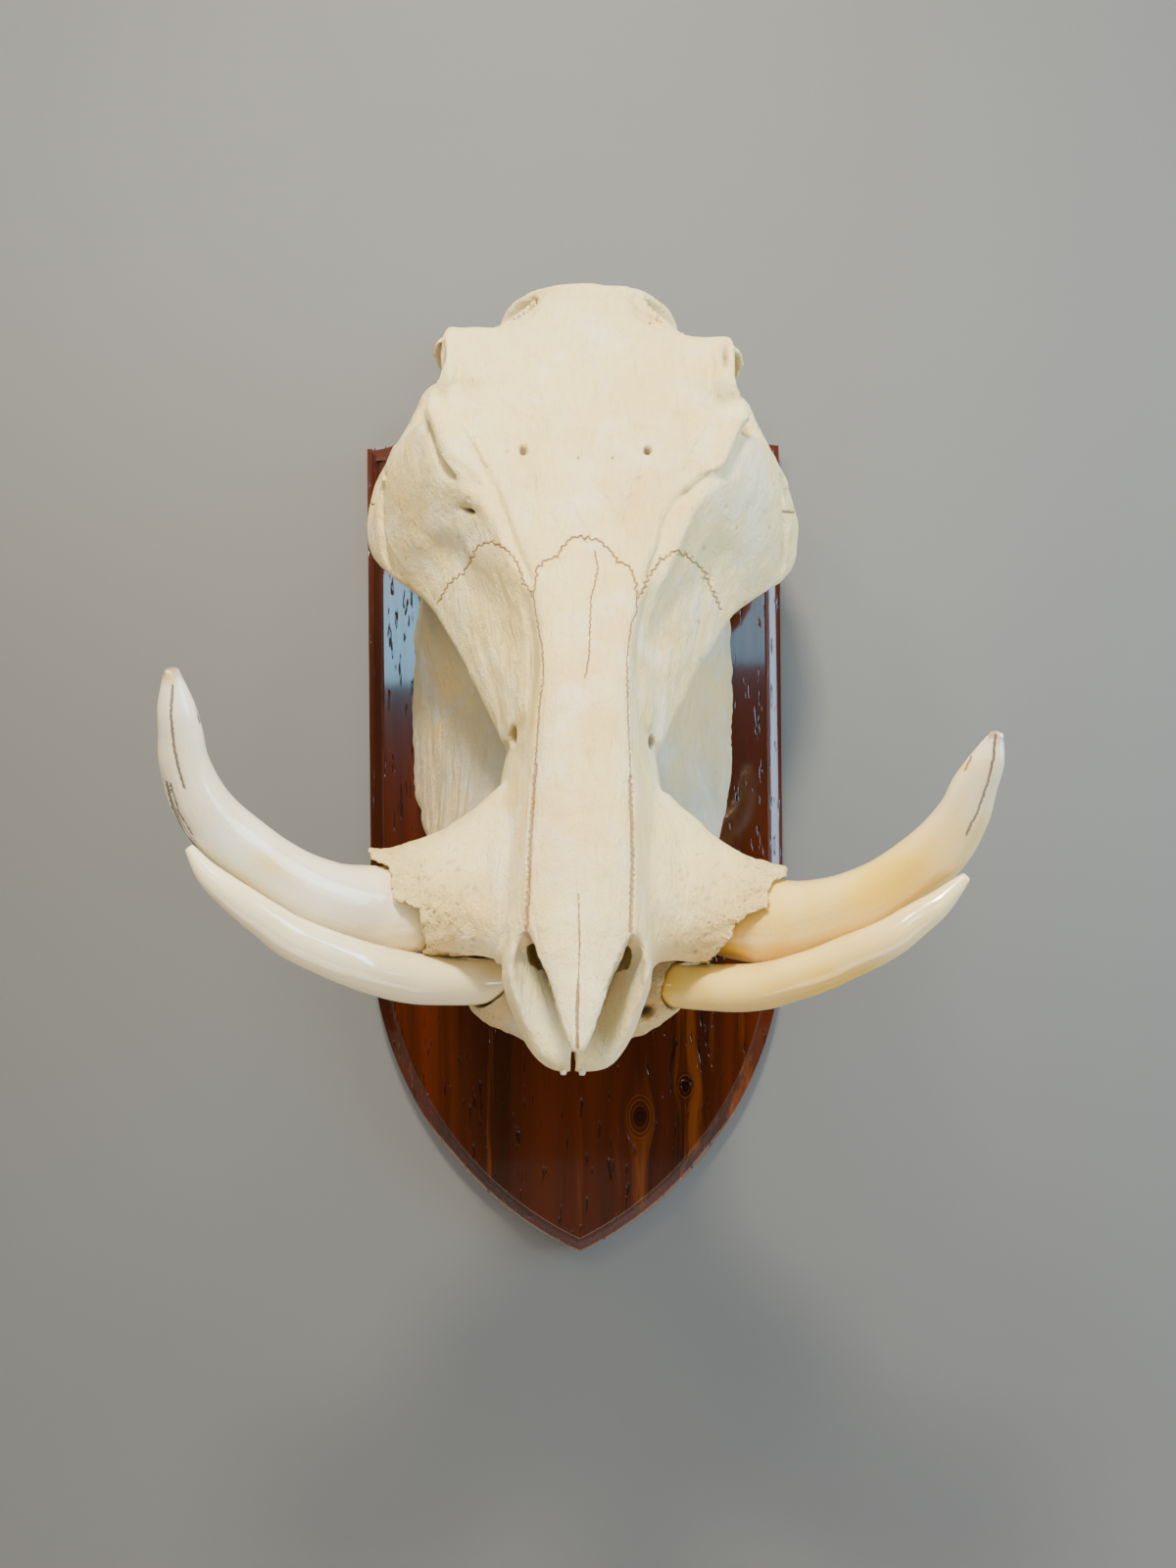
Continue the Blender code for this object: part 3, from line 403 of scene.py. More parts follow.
# Knots in the shield: x, z and size in metres, and how much they are drawn out along the grain
KNOTS = [(0.0378, -0.2005, 0.0075), (0.066, -0.182, 0.0045)]
KNOT_STRETCH = 0.62

# Lights: name, place, size, power as a share of the key setting, colour
LIGHTS = [
    ("key", (-0.05, -0.75, 0.60), (0.12, 0.09), 1.45, (1.0, 0.90, 0.72)),
    ("lamp_left", (-0.55, -0.95, 0.75), (0.12, 0.25), 0.60, (1.0, 0.92, 0.76)),
    ("lamp_right", (0.50, -0.95, 0.75), (0.12, 0.25), 0.30, (1.0, 0.92, 0.76)),
    ("above", (-0.3, -1.1, 1.5), (0.8, 0.5), 2.1, (1.0, 0.92, 0.76)),
    ("side_window", (1.6, -0.55, 0.25), (0.8, 1.2), 5.8, (0.50, 0.75, 1.0)),
    ("bounce", (0.0, -0.95, -1.35), (2.4, 0.8), 2.5, (1.0, 0.78, 0.58)),
    ("window_left", (-0.47, -2.2, 0.41), (0.30, 0.30), 0.75, (0.30, 0.74, 1.0)),
    ("window_right", (0.44, -2.2, 0.40), (0.30, 0.20), 0.22, (0.30, 0.74, 1.0)),
]
LIGHTS_AIM = (0.0, -0.12, 0.0)
WINDOW_DIRECTION = (0.0, 1.0, -0.1)
# In metres: half the width of the wall and floor, the gap behind the shield, and where the floor lies
WALL_REACH = 3.0
WALL_Y = 0.0004
FLOOR_Z = -1.5
FLOOR_REACH = 4.0


class BoneSettings(bpy.types.PropertyGroup):
    """Sizes and colours of the bones."""

    grain: FloatProperty(
        name="Mesh grain", description="Length of the mesh's edges", default=0.0019, unit="LENGTH")
    refine: IntProperty(
        name="Refine", description="Times that the mesh is halved along the seams", default=2)
    light: FloatVectorProperty(
        name="Light bone", description="Colour of the cleanest bone", subtype="COLOR", size=4,
        default=(0.86, 0.70, 0.32, 1.0))
    warm: FloatVectorProperty(
        name="Warm bone", description="Colour of the bone where it kept some fat", subtype="COLOR", size=4,
        default=(0.80, 0.55, 0.20, 1.0))
    # Painted shade: the jaw gets a darker copy of the bone colour, because it lies in the shade of the
    # cheek bones
    jaw: FloatVectorProperty(
        name="Jaw bone", description="Colour of the lower jaw", subtype="COLOR", size=4,
        default=(0.50, 0.42, 0.265, 1.0))
    seam: FloatVectorProperty(
        name="Seam", description="Colour of the seams between bones", subtype="COLOR", size=4,
        default=(0.30, 0.13, 0.05, 1.0))
    # Painted shade: the dark colour laid into holes, pits, cavities and the slots under the nose bones
    painted_shade: FloatVectorProperty(
        name="Hollow", description="Colour inside holes and cavities", subtype="COLOR", size=4,
        default=(0.20, 0.12, 0.06, 1.0))


class TuskSettings(bpy.types.PropertyGroup):
    """Colours of the tusks and teeth."""

    rings: IntProperty(name="Rings", description="Rings of the mesh along a tusk", default=170)
    segments: IntProperty(name="Segments", description="Points round a ring", default=64)
    upper: FloatVectorProperty(
        name="Upper ivory", description="Colour of the upper tusks", subtype="COLOR", size=4,
        default=(0.94, 0.85, 0.66, 1.0))
    lower: FloatVectorProperty(
        name="Lower ivory", description="Colour of the lower tusks", subtype="COLOR", size=4,
        default=(0.98, 0.85, 0.55, 1.0))
    stain: FloatVectorProperty(
        name="Stain", description="Colour of the worn and stained ivory", subtype="COLOR", size=4,
        default=(0.92, 0.60, 0.075, 1.0))
    enamel: FloatVectorProperty(
        name="Enamel", description="Colour of the cheek teeth", subtype="COLOR", size=4,
        default=(0.78, 0.68, 0.48, 1.0))


class ShieldSettings(bpy.types.PropertyGroup):
    """Sizes and colours of the shield and its screws."""

    rim_width: FloatProperty(
        name="Rim width", description="Width of the routed rim", default=0.0095, unit="LENGTH")
    rim_drop: FloatProperty(
        name="Rim drop", description="Depth of the routed rim", default=0.0075, unit="LENGTH")
    rim_step: FloatProperty(
        name="Rim step", description="Step at the rim's inside", default=0.0018, unit="LENGTH")
    dark: FloatVectorProperty(
        name="Dark wood", description="Darkest wood", subtype="COLOR", size=4,
        default=(0.0045, 0.0005, 0.0001, 1.0))
    red: FloatVectorProperty(
        name="Red wood", description="Main colour of the wood", subtype="COLOR", size=4,
        default=(0.050, 0.0065, 0.0008, 1.0))
    streak: FloatVectorProperty(
        name="Streak", description="Lighter streaks of the grain", subtype="COLOR", size=4,
        default=(0.23, 0.055, 0.007, 1.0))


class StageSettings(bpy.types.PropertyGroup):
    """The room: wall, floor and light."""

    wall: FloatVectorProperty(
        name="Wall", description="Colour of the wall", subtype="COLOR", size=4,
        default=(0.168, 0.168, 0.162, 1.0))
    floor: FloatVectorProperty(
        name="Floor", description="Colour of the floor", subtype="COLOR", size=4,
        default=(0.62, 0.60, 0.57, 1.0))
    key_power: FloatProperty(
        name="Key light", description="Power that all the lights are shares of", default=7.4, unit="POWER")
    sky: FloatProperty(name="Room light", description="Strength of the even light", default=0.40)


def curve_through(values, spans):
    """Rows of numbers read off a smooth curve through the given rows."""
    rows = []
    for k in range(len(values) - 1):
        before = values[max(k - 1, 0)]
        start = values[k]
        end = values[k + 1]
        after = values[min(k + 2, len(values) - 1)]
        for step in range(spans):
            t = step / spans
            rows.append([
                0.5 * (2 * b + (c - a) * t + (2 * a - 5 * b + 4 * c - d) * t * t
                       + (3 * b - a - 3 * c + d) * t ** 3)
                for a, b, c, d in zip(before, start, end, after)
            ])
    rows.append(list(values[-1]))
    return rows


def loft(bm, rings):
    """Skin a row of equal rings and close both ends."""
    loops = [[bm.verts.new(point) for point in ring] for ring in rings]
    count = len(rings[0])
    faces = []
    for near, far in zip(loops, loops[1:]):
        for i in range(count):
            j = (i + 1) % count
            faces.append(bm.faces.new((near[i], near[j], far[j], far[i])))
    faces.append(bm.faces.new(loops[0]))
    faces.append(bm.faces.new(loops[-1]))
    bmesh.ops.recalc_face_normals(bm, faces=faces)


def body_loft(bm, sections, spans=8, finer=4):
    """A symmetrical body from half sections that run from the top midline to the bottom one."""
    rows = [[s] + [value for point in half for value in point] for s, half in sections]
    rings = []
    for row in curve_through(rows, spans):
        s = row[0]
        half = curve_through(list(zip(row[1::2], row[2::2])), finer)
        right = [Vector((x, s, h)) * MM for x, h in half]
        left = [Vector((-x, s, h)) * MM for x, h in half[1:-1]]
        rings.append(right + left[::-1])
    loft(bm, rings)


STRAP_EDGE = (0.0, 0.02, 0.08, 0.18, 0.32, 0.50)


def strap_loft(bm, stations, side, spans=8):
    """A strap of bone between two edges, rounded along both, on the given side."""
    rows = [list(a) + list(b) + [thick, bulge] for a, b, thick, bulge in stations]
    rows = curve_through(rows, spans)
    edges = [(Vector(row[0:3]), Vector(row[3:6])) for row in rows]
    middles = [(a + b) / 2 for a, b in edges]
    rings = []
    for k, (a, b) in enumerate(edges):
        thick, bulge = rows[k][6], rows[k][7]
        along = middles[min(k + 1, len(rows) - 1)] - middles[max(k - 1, 0)]
        across = (b - a).normalized()
        out = across.cross(along).normalized()
        length = (b - a).length
        outline = [thick * share for share in STRAP_EDGE]
        outline += [length * share for share in (0.25, 0.38, 0.5, 0.62, 0.75)]
        outline += [length - thick * share for share in reversed(STRAP_EDGE)]
        front, rear = [], []
        for at in outline:
            near = min(at, length - at) / thick
            half = thick * (0.5 * min(1.0, near / 0.38) ** 0.5 * (0.84 + 0.16 * min(1.0, near)))
            swell = bulge * (1 - (2 * at / length - 1) ** 2)
            front.append(a + across * at + out * (swell + half))
            rear.append(a + across * at + out * (swell - half))
        ring = front + rear[-2:0:-1]
        rings.append([Vector((p[0] * side, p[1], p[2])) * MM for p in ring])
    loft(bm, rings)


def rings_along(points, radii, segments):
    """Round rings along a path; they turn with the path without twisting."""
    upright = Vector((0.0, 0.0, 1.0))
    rings = []
    for k, centre in enumerate(points):
        along = (points[min(k + 1, len(points) - 1)] - points[max(k - 1, 0)]).normalized()
        first = (upright - along * upright.dot(along)).normalized()
        second = along.cross(first)
        upright = first
        rings.append([
            centre + radii[k] * (first * math.cos(turn) + second * math.sin(turn))
            for turn in (2 * math.pi * i / segments for i in range(segments))
        ])
    return rings


def rod_loft(bm, stations, side=1, spans=8, segments=32, grow=0.0):
    """A round rod along a smooth path, thicker by grow metres all round."""
    rows = curve_through([list(centre) + [radius] for centre, radius in stations], spans)
    points = [Vector((row[0] * side, row[1], row[2])) * MM for row in rows]
    loft(bm, rings_along(points, [row[3] * MM + grow for row in rows], segments))


def plate(bm, table, thick):
    """A broad flat plate of bone with thinner edges."""
    sections = []
    for s, width, middle, edge in table:
        sections.append((s, [
            (0, middle), (width * 0.5, middle * 0.9 + edge * 0.1), (width * 0.84, edge - 0.4),
            (width - 1, edge), (width, edge - thick * 0.4), (width - 1.5, edge - thick),
            (width * 0.75, edge - thick * 1.5), (width * 0.4, -18), (0, -20),
        ]))
    body_loft(bm, sections, 6)


def nose_bones(bm):
    """The arched nose bones that overhang the nasal opening to a point."""
    sections = []
    for s, width, top in NOSE_BONES:
        edge = top - width * NOSE_BONE_ARCH
        sections.append((s, [
            (0, top), (width * 0.55, top - width * 0.07), (width * 0.94, edge), (width, edge - 1.8),
            (width * 0.9, edge - NOSE_BONE_THICKNESS * 0.9),
            (width * 0.5, top - NOSE_BONE_THICKNESS - width * 0.1),
            (0, top - NOSE_BONE_THICKNESS),
        ]))
    body_loft(bm, sections, 6)


def premaxilla(bm):
    """The trough of bone below the nasal opening, open at the top."""
    rings = []
    for s, rim_x, rim_h, wide, floor_x, floor_h in curve_through(PREMAXILLA, 8):
        mid_h = rim_h * 0.45 + floor_h * 0.55
        outer = [
            (rim_x + 1.2, rim_h), (rim_x * 0.35 + wide * 0.65, rim_h * 0.7 + mid_h * 0.3), (wide, mid_h),
            (wide * 0.9, mid_h * 0.45 + floor_h * 0.55), (floor_x, floor_h), (0, floor_h + 1),
        ]
        deep = max(0.0, rim_h - floor_h - PREMAXILLA_FLOOR)
        inner = [
            (rim_x - 0.8, rim_h - 1.2), (wide * 0.80, rim_h - deep * 0.30),
            (wide * 0.55, rim_h - deep * 0.60), (wide * 0.25, rim_h - deep * 0.88), (0, rim_h - deep),
        ]
        outer = curve_through(outer, 3)
        inner = curve_through(inner, 3)
        ring = outer + [(-x, h) for x, h in outer[-2::-1]]
        ring += [(-x, h) for x, h in inner] + inner[-2::-1]
        rings.append([Vector((x, s, h)) * MM for x, h in ring])
    loft(bm, rings)


def tusk_sleeve(bm, side):
    """The flared sleeve of bone that holds an upper tusk; its rim is slanted and ragged."""
    segments = 96
    rings = []
    rows = curve_through(TUSK_SLEEVE, 8)
    rim = RIM_LEFT if side < 0 else RIM_RIGHT
    rim_s = [at for at, _ in rim]
    rim_out = [out for _, out in rim]
    for k, (x, s, h, half_s, half_h) in enumerate(rows):
        near = max(0.0, (k / (len(rows) - 1) - 0.3) / 0.7) ** 1.5
        ring = []
        for i in range(segments):
            turn = 2 * math.pi * i / segments
            along_s = half_s * math.cos(turn)
            ragged = 1.1 * math.sin(9 * turn + 2.0 * side) + 0.9 * math.sin(17 * turn)
            ragged += 0.7 * math.sin(31 * turn)
            edge = float(np.interp(s + along_s, rim_s, rim_out)) + ragged + RIM_SPARE
            reach = side * (x + near * (edge - TUSK_SLEEVE[-1][0]))
            drop = near * SLEEVE_DROP * (1 + side) / 2
            height = h - SLEEVE_TILT * along_s + half_h * math.sin(turn)
            ring.append(Vector((reach, s + along_s - drop, height)) * MM)
        rings.append(ring)
    loft(bm, rings)


def ellipse_tunnel(bm, sections, segments=48):
    """A tunnel along s with elliptic sections."""
    rings = []
    for s, h, half_x, half_h in curve_through(sections, 6):
        rings.append([
            Vector((half_x * math.cos(turn), s, h + half_h * math.sin(turn))) * MM
            for turn in (2 * math.pi * i / segments for i in range(segments))
        ])
    loft(bm, rings)


def broken_edge(bm, line, outside):
    """All that lies beyond a ragged line of the front drawing, seen from the eye point."""
    back = SKULL_POSE.inverted()
    turn = Euler((math.radians(90), EYE_ROLL, 0)).to_matrix()
    ragged = jagged(line, BREAK_WAVE, np.random.default_rng(3))
    outline = ragged + [(outside, line[-1][1]), (outside, line[0][1])]
    rings = []
    for depth in BREAK_DEPTHS:
        scale = depth / DRAWING_FOCUS
        rings.append([
            back @ (Vector(EYE) + turn @ Vector((
                (u - DRAWING_WIDTH / 2) * scale, (DRAWING_HEIGHT / 2 - v) * scale, -depth)))
            for u, v in outline
        ])
    loft(bm, rings)


def front_notch(bm):
    """The slot between the two front teeth."""
    rings = []
    for s, h, half_x, half_h in FRONT_NOTCH:
        corners = [(-half_x, -half_h), (half_x, -half_h), (half_x, half_h), (-half_x, half_h)]
        rings.append([Vector((x + INCISOR_SHIFT, s, h + up)) * MM for x, up in corners])
    loft(bm, rings)


def ball(bm, centre, size):
    """An ellipsoid knob."""
    place = Matrix.Translation(Vector(centre) * MM) @ Matrix.Diagonal(Vector(size) * MM).to_4x4()
    bmesh.ops.create_uvsphere(bm, u_segments=32, v_segments=20, radius=1.0, matrix=place)


def cranium_forms(bm):
    """Every form of the cranium, overlapping."""
    body_loft(bm, CRANIUM_BODY)
    plate(bm, FOREHEAD, FOREHEAD_EDGE)
    plate(bm, NECK, NECK_EDGE)
    nose_bones(bm)
    premaxilla(bm)
    for side in (-1, 1):
        strap_loft(bm, CHEEK, side)
        strap_loft(bm, CHEEK_ARCH, side)
        strap_loft(bm, POSTORBITAL_HOOK, side)
        strap_loft(bm, NUCHAL_CREST, side)
        tusk_sleeve(bm, side)
        rod_loft(bm, EAR_PROCESS, side)
        ball(bm, (side * CONDYLE_CENTRE[0], *CONDYLE_CENTRE[1:]), CONDYLE_SIZE)


def jaw_forms(bm):
    """Every form of the lower jaw, overlapping."""
    body_loft(bm, JAW_FRONT)
    for side in (-1, 1):
        strap_loft(bm, JAW_BODY, side)
        rod_loft(bm, JAW_CONDYLE, side)
        rod_loft(bm, JAW_SLEEVE, side)


def new_piece(name, build, pose, surface=None):
    """An object whose mesh the given function fills in."""
    bm = bmesh.new()
    build(bm)
    mesh = bpy.data.meshes.new(name)
    bm.to_mesh(mesh)
    bm.free()
    made = bpy.data.objects.new(name, mesh)
    bpy.context.scene.collection.objects.link(made)
    made.matrix_world = pose
    if surface:
        mesh.materials.append(surface)
    mesh.shade_smooth()
    return made


def settle(piece):
    """Make the piece's modifiers part of its mesh."""
    bpy.context.view_layer.update()
    depsgraph = bpy.context.evaluated_depsgraph_get()
    mesh = bpy.data.meshes.new_from_object(piece.evaluated_get(depsgraph), depsgraph=depsgraph)
    old = piece.data
    piece.modifiers.clear()
    piece.data = mesh
    mesh.name = old.name
    bpy.data.meshes.remove(old)


def stand_up(piece):
    """Turn the mesh itself into the room's coordinates."""
    piece.data.transform(piece.matrix_world)
    piece.matrix_world = Matrix.Identity(4)


def fuse(piece, grain, smoothing):
    """Grow all the overlapping shapes of a bone together into one skin."""
    remesh = piece.modifiers.new("Grow together", "REMESH")
    remesh.mode = "VOXEL"
    remesh.voxel_size = grain
    remesh.use_smooth_shade = True
    smooth = piece.modifiers.new("Soften", "SMOOTH")
    smooth.factor = 0.5
    smooth.iterations = smoothing
    settle(piece)


def carve(piece, build, solver="MANIFOLD"):
    """Take the shape that the function builds out of the piece."""
    cutter = new_piece("cutter", build, piece.matrix_world)
    boolean = piece.modifiers.new("Carve", "BOOLEAN")
    boolean.operation = "DIFFERENCE"
    boolean.solver = solver
    boolean.object = cutter
    settle(piece)
    bpy.data.objects.remove(cutter, do_unlink=True)


def lumps(points, size, seed):
    """Smooth random values from -1 to 1 at the points, with lumps about this size across."""
    spots = np.asarray(points, float) / size
    base = np.floor(spots).astype(np.int64)
    part = spots - base
    part = part * part * (3 - 2 * part)
    total = np.zeros(len(spots))
    for corner in range(8):
        step = np.array([(corner >> k) & 1 for k in range(3)])
        cell = base + step
        mixed = (cell[:, 0] * 73856093) ^ (cell[:, 1] * 19349663) ^ (cell[:, 2] * 83492791)
        mixed = mixed ^ (seed * 2654435761)
        mixed = (mixed ^ (mixed >> 13)) * 1274126177 & 0x7FFFFFFF
        value = (mixed & 0xFFFF) / 32767.5 - 1.0
        weight = np.prod(np.where(step == 1, part, 1 - part), axis=1)
        total += value * weight
    return total


def ease(values, low, high):
    """0 below low, 1 above high, and smooth between."""
    t = np.clip((values - low) / (high - low), 0.0, 1.0)
    return t * t * (3 - 2 * t)


def draw(places):
    """Where points of the room fall on the front drawing."""
    turn = np.array(Euler((math.radians(90), EYE_ROLL, 0)).to_matrix())
    local = (places - np.array(EYE)) @ turn
    depth = -local[:, 2]
    u = DRAWING_WIDTH / 2 + DRAWING_FOCUS * local[:, 0] / depth
    v = DRAWING_HEIGHT / 2 - DRAWING_FOCUS * local[:, 1] / depth
    return u, v


def line_offsets(u, v, line):
    """For each point: signed distance to the line, share of the way along it, distance past its ends."""
    best = np.full(len(u), 1e9)
    signed = np.full(len(u), 1e9)
    share = np.zeros(len(u))
    past = np.zeros(len(u))
    steps = [math.dist(a, b) for a, b in zip(line, line[1:])]
    total = sum(steps)
    gone = 0.0
    for k, ((ax, ay), (bx, by)) in enumerate(zip(line, line[1:])):
        length = max(steps[k], 1e-6)
        dx, dy = (bx - ax) / length, (by - ay) / length
        raw = (u - ax) * dx + (v - ay) * dy
        t = np.clip(raw, 0.0, length)
        across = (u - ax) * dy - (v - ay) * dx
        away = np.hypot(u - ax - dx * t, v - ay - dy * t)
        nearer = away < best
        best = np.where(nearer, away, best)
        signed = np.where(nearer, np.where(across < 0, -away, away), signed)
        share = np.where(nearer, (gone + t) / total, share)
        beyond = np.zeros(len(u))
        if k == 0:
            beyond = np.maximum(beyond, -raw)
        if k == len(steps) - 1:
            beyond = np.maximum(beyond, raw - length)
        past = np.where(nearer, beyond, past)
        gone += length
    return signed, share, past


def jagged(line, wave, rng):
    """A line with small irregular teeth, like a seam between bones."""
    made = [line[0]]
    for (ax, ay), (bx, by) in zip(line, line[1:]):
        length = math.dist((ax, ay), (bx, by))
        count = max(1, int(length / 3.2))
        for k in range(1, count + 1):
            t = k / count
            side = (1 if (len(made) % 2) else -1) * wave * rng.uniform(0.25, 1.0)
            x = ax + (bx - ax) * t + side * (by - ay) / length + rng.uniform(-0.4, 0.4) * wave
            y = ay + (by - ay) * t - side * (bx - ax) / length + rng.uniform(-0.4, 0.4) * wave
            made.append((x, y))
    made[-1] = line[-1]
    return made


class Clay:
    """A mesh under the sculptor's hands: its points in skull millimetres and on the front drawing."""

    def __init__(self, piece):
        self.piece = piece
        self.read()
        self.look()

    def read(self):
        """Take over the points and normals of the mesh."""
        mesh = self.piece.data
        flat = np.empty(len(mesh.vertices) * 3)
        mesh.vertices.foreach_get("co", flat)
        self.points = flat.reshape(-1, 3) / MM
        mesh.vertex_normals.foreach_get("vector", flat)
        self.normals = flat.reshape(-1, 3).copy()
        pose = np.array(self.piece.matrix_world)
        places = self.points * MM @ pose[:3, :3].T + pose[:3, 3]
        self.u, self.v = draw(places)
        sight = np.array(EYE) - places
        sight /= np.linalg.norm(sight, axis=1)[:, None]
        self.facing = np.sum((self.normals @ pose[:3, :3].T) * sight, axis=1)

    def look(self):
        """Mark the points that the camera can see."""
        mesh = self.piece.data
        tree = BVHTree.FromPolygons(
            [v.co for v in mesh.vertices], [tuple(p.vertices) for p in mesh.polygons])
        eye = self.piece.matrix_world.inverted() @ Vector(EYE)
        seen = self.facing > 0.05
        for k in np.nonzero(seen)[0]:
            place = mesh.vertices[int(k)].co
            start = place + mesh.vertex_normals[int(k)].vector * 0.0015
            if tree.ray_cast(start, (eye - start).normalized(), 0.4)[0] is not None:
                seen[k] = False
        self.seen = seen

    def write(self):
        """Give the moved points back to the mesh."""
        mesh = self.piece.data
        mesh.vertices.foreach_set("co", (self.points * MM).ravel())
        mesh.update()

    def push(self, height, where=None):
        """Move points along their normals by so many millimetres."""
        if where is not None:
            height = height * where
        self.points += self.normals * height[:, None]

    def stroke(self, line, width, height, fade):
        """A rounded ridge, or a furrow if height is negative, along a line of the drawing."""
        away, share, past = line_offsets(self.u, self.v, line)
        ends = ease(share, 0.0, fade) * (1 - ease(share, 1 - fade, 1.0))
        rounded = np.exp(-(away / width) ** 2) * (past < width)
        self.push(height * rounded * ends, self.seen)

    def oval(self, centre, radii, turn):
        """For each point: 0 in the middle of an oval on the drawing, 1 on its edge, more outside."""
        c, s = math.cos(turn), math.sin(turn)
        du, dv = self.u - centre[0], self.v - centre[1]
        a = (du * c + dv * s) / radii[0]
        b = (dv * c - du * s) / radii[1]
        return a * a + b * b

    def dent(self, centre, radii, depth, turn=0.0):
        """An oval dent on the drawing; returns how deep each point is in it, 0 to 1."""
        inside = np.exp(-self.oval(centre, radii, turn) ** 1.5) * self.seen
        self.push(-depth * inside)
        return inside

    def refine(self, near):
        """Halve the edges round the chosen points."""
        bm = bmesh.new()
        bm.from_mesh(self.piece.data)
        bm.verts.ensure_lookup_table()
        edges = [e for e in bm.edges if near[e.verts[0].index] or near[e.verts[1].index]]
        made = bmesh.ops.subdivide_edges(bm, edges=edges, cuts=1, use_grid_fill=True)
        fresh = [v for v in made["geom_inner"] if isinstance(v, bmesh.types.BMVert)]
        bmesh.ops.smooth_vert(
            bm, verts=fresh, factor=0.5, use_axis_x=True, use_axis_y=True, use_axis_z=True)
        bm.to_mesh(self.piece.data)
        bm.free()
        self.piece.data.shade_smooth()

    def note(self, name, values):
        """Keep a number for each point in the mesh, for its material."""
        mesh = self.piece.data
        if name in mesh.attributes:
            mesh.attributes.remove(mesh.attributes[name])
        layer = mesh.attributes.new(name, "FLOAT", "POINT")
        layer.data.foreach_set("value", np.asarray(values, np.float32))


def points_about(clay, line, reach):
    """The seen points in the upright box round a line, widened by reach."""
    us = [u for u, _ in line]
    vs = [v for _, v in line]
    beside = (clay.u > min(us) - reach) & (clay.u < max(us) + reach)
    level = (clay.v > min(vs) - reach) & (clay.v < max(vs) + reach)
    return np.nonzero(beside & level & clay.seen)[0]


def near_lines(clay, lines, reach):
    """The points within reach of any of the lines."""
    near = np.zeros(len(clay.u), bool)
    for line in lines:
        chosen = points_about(clay, line, reach)
        if len(chosen):
            away, _, past = line_offsets(clay.u[chosen], clay.v[chosen], line)
            near[chosen[(np.abs(away) < reach) & (past < reach)]] = True
    return near


def press_seams(clay, lines, depth):
    """Press lines into the surface, and note each point's distance to the nearest and its width."""
    count = len(clay.u)
    nearest = np.full(count, SEAM_REACH)
    width = np.zeros(count)
    for line, half_width in lines:
        chosen = points_about(clay, line, SEAM_REACH)
        if not len(chosen):
            continue
        away, _, past = line_offsets(clay.u[chosen], clay.v[chosen], line)
        closer = np.abs(away) < np.abs(nearest[chosen])
        inside = 1.0 - ease(past, 0.0, 2.5)
        hold = chosen[closer]
        nearest[hold] = away[closer]
        width[hold] = (half_width * inside * (1 - ease(np.abs(away), 4.0, 6.0)))[closer]
    groove = np.exp(-(nearest / np.maximum(width * 1.5, 0.3)) ** 2) * ease(width, 0.1, 0.5)
    clay.push(-depth * groove * np.clip(width, 0.4, 1.2))
    clay.note("seam", nearest)
    clay.note("seam_width", width)


def near_rim(clay, side):
    """How near each point is to the ragged rim of a tusk sleeve, 0 to 1."""
    x, s, h = clay.points.T
    rim = RIM_LEFT if side < 0 else RIM_RIGHT
    gap = np.interp(s, [a for a, _ in rim], [b for _, b in rim]) - side * x
    return (1 - ease(gap, 2.0, 26.0)) * (side * x > 40) * (s < 112)


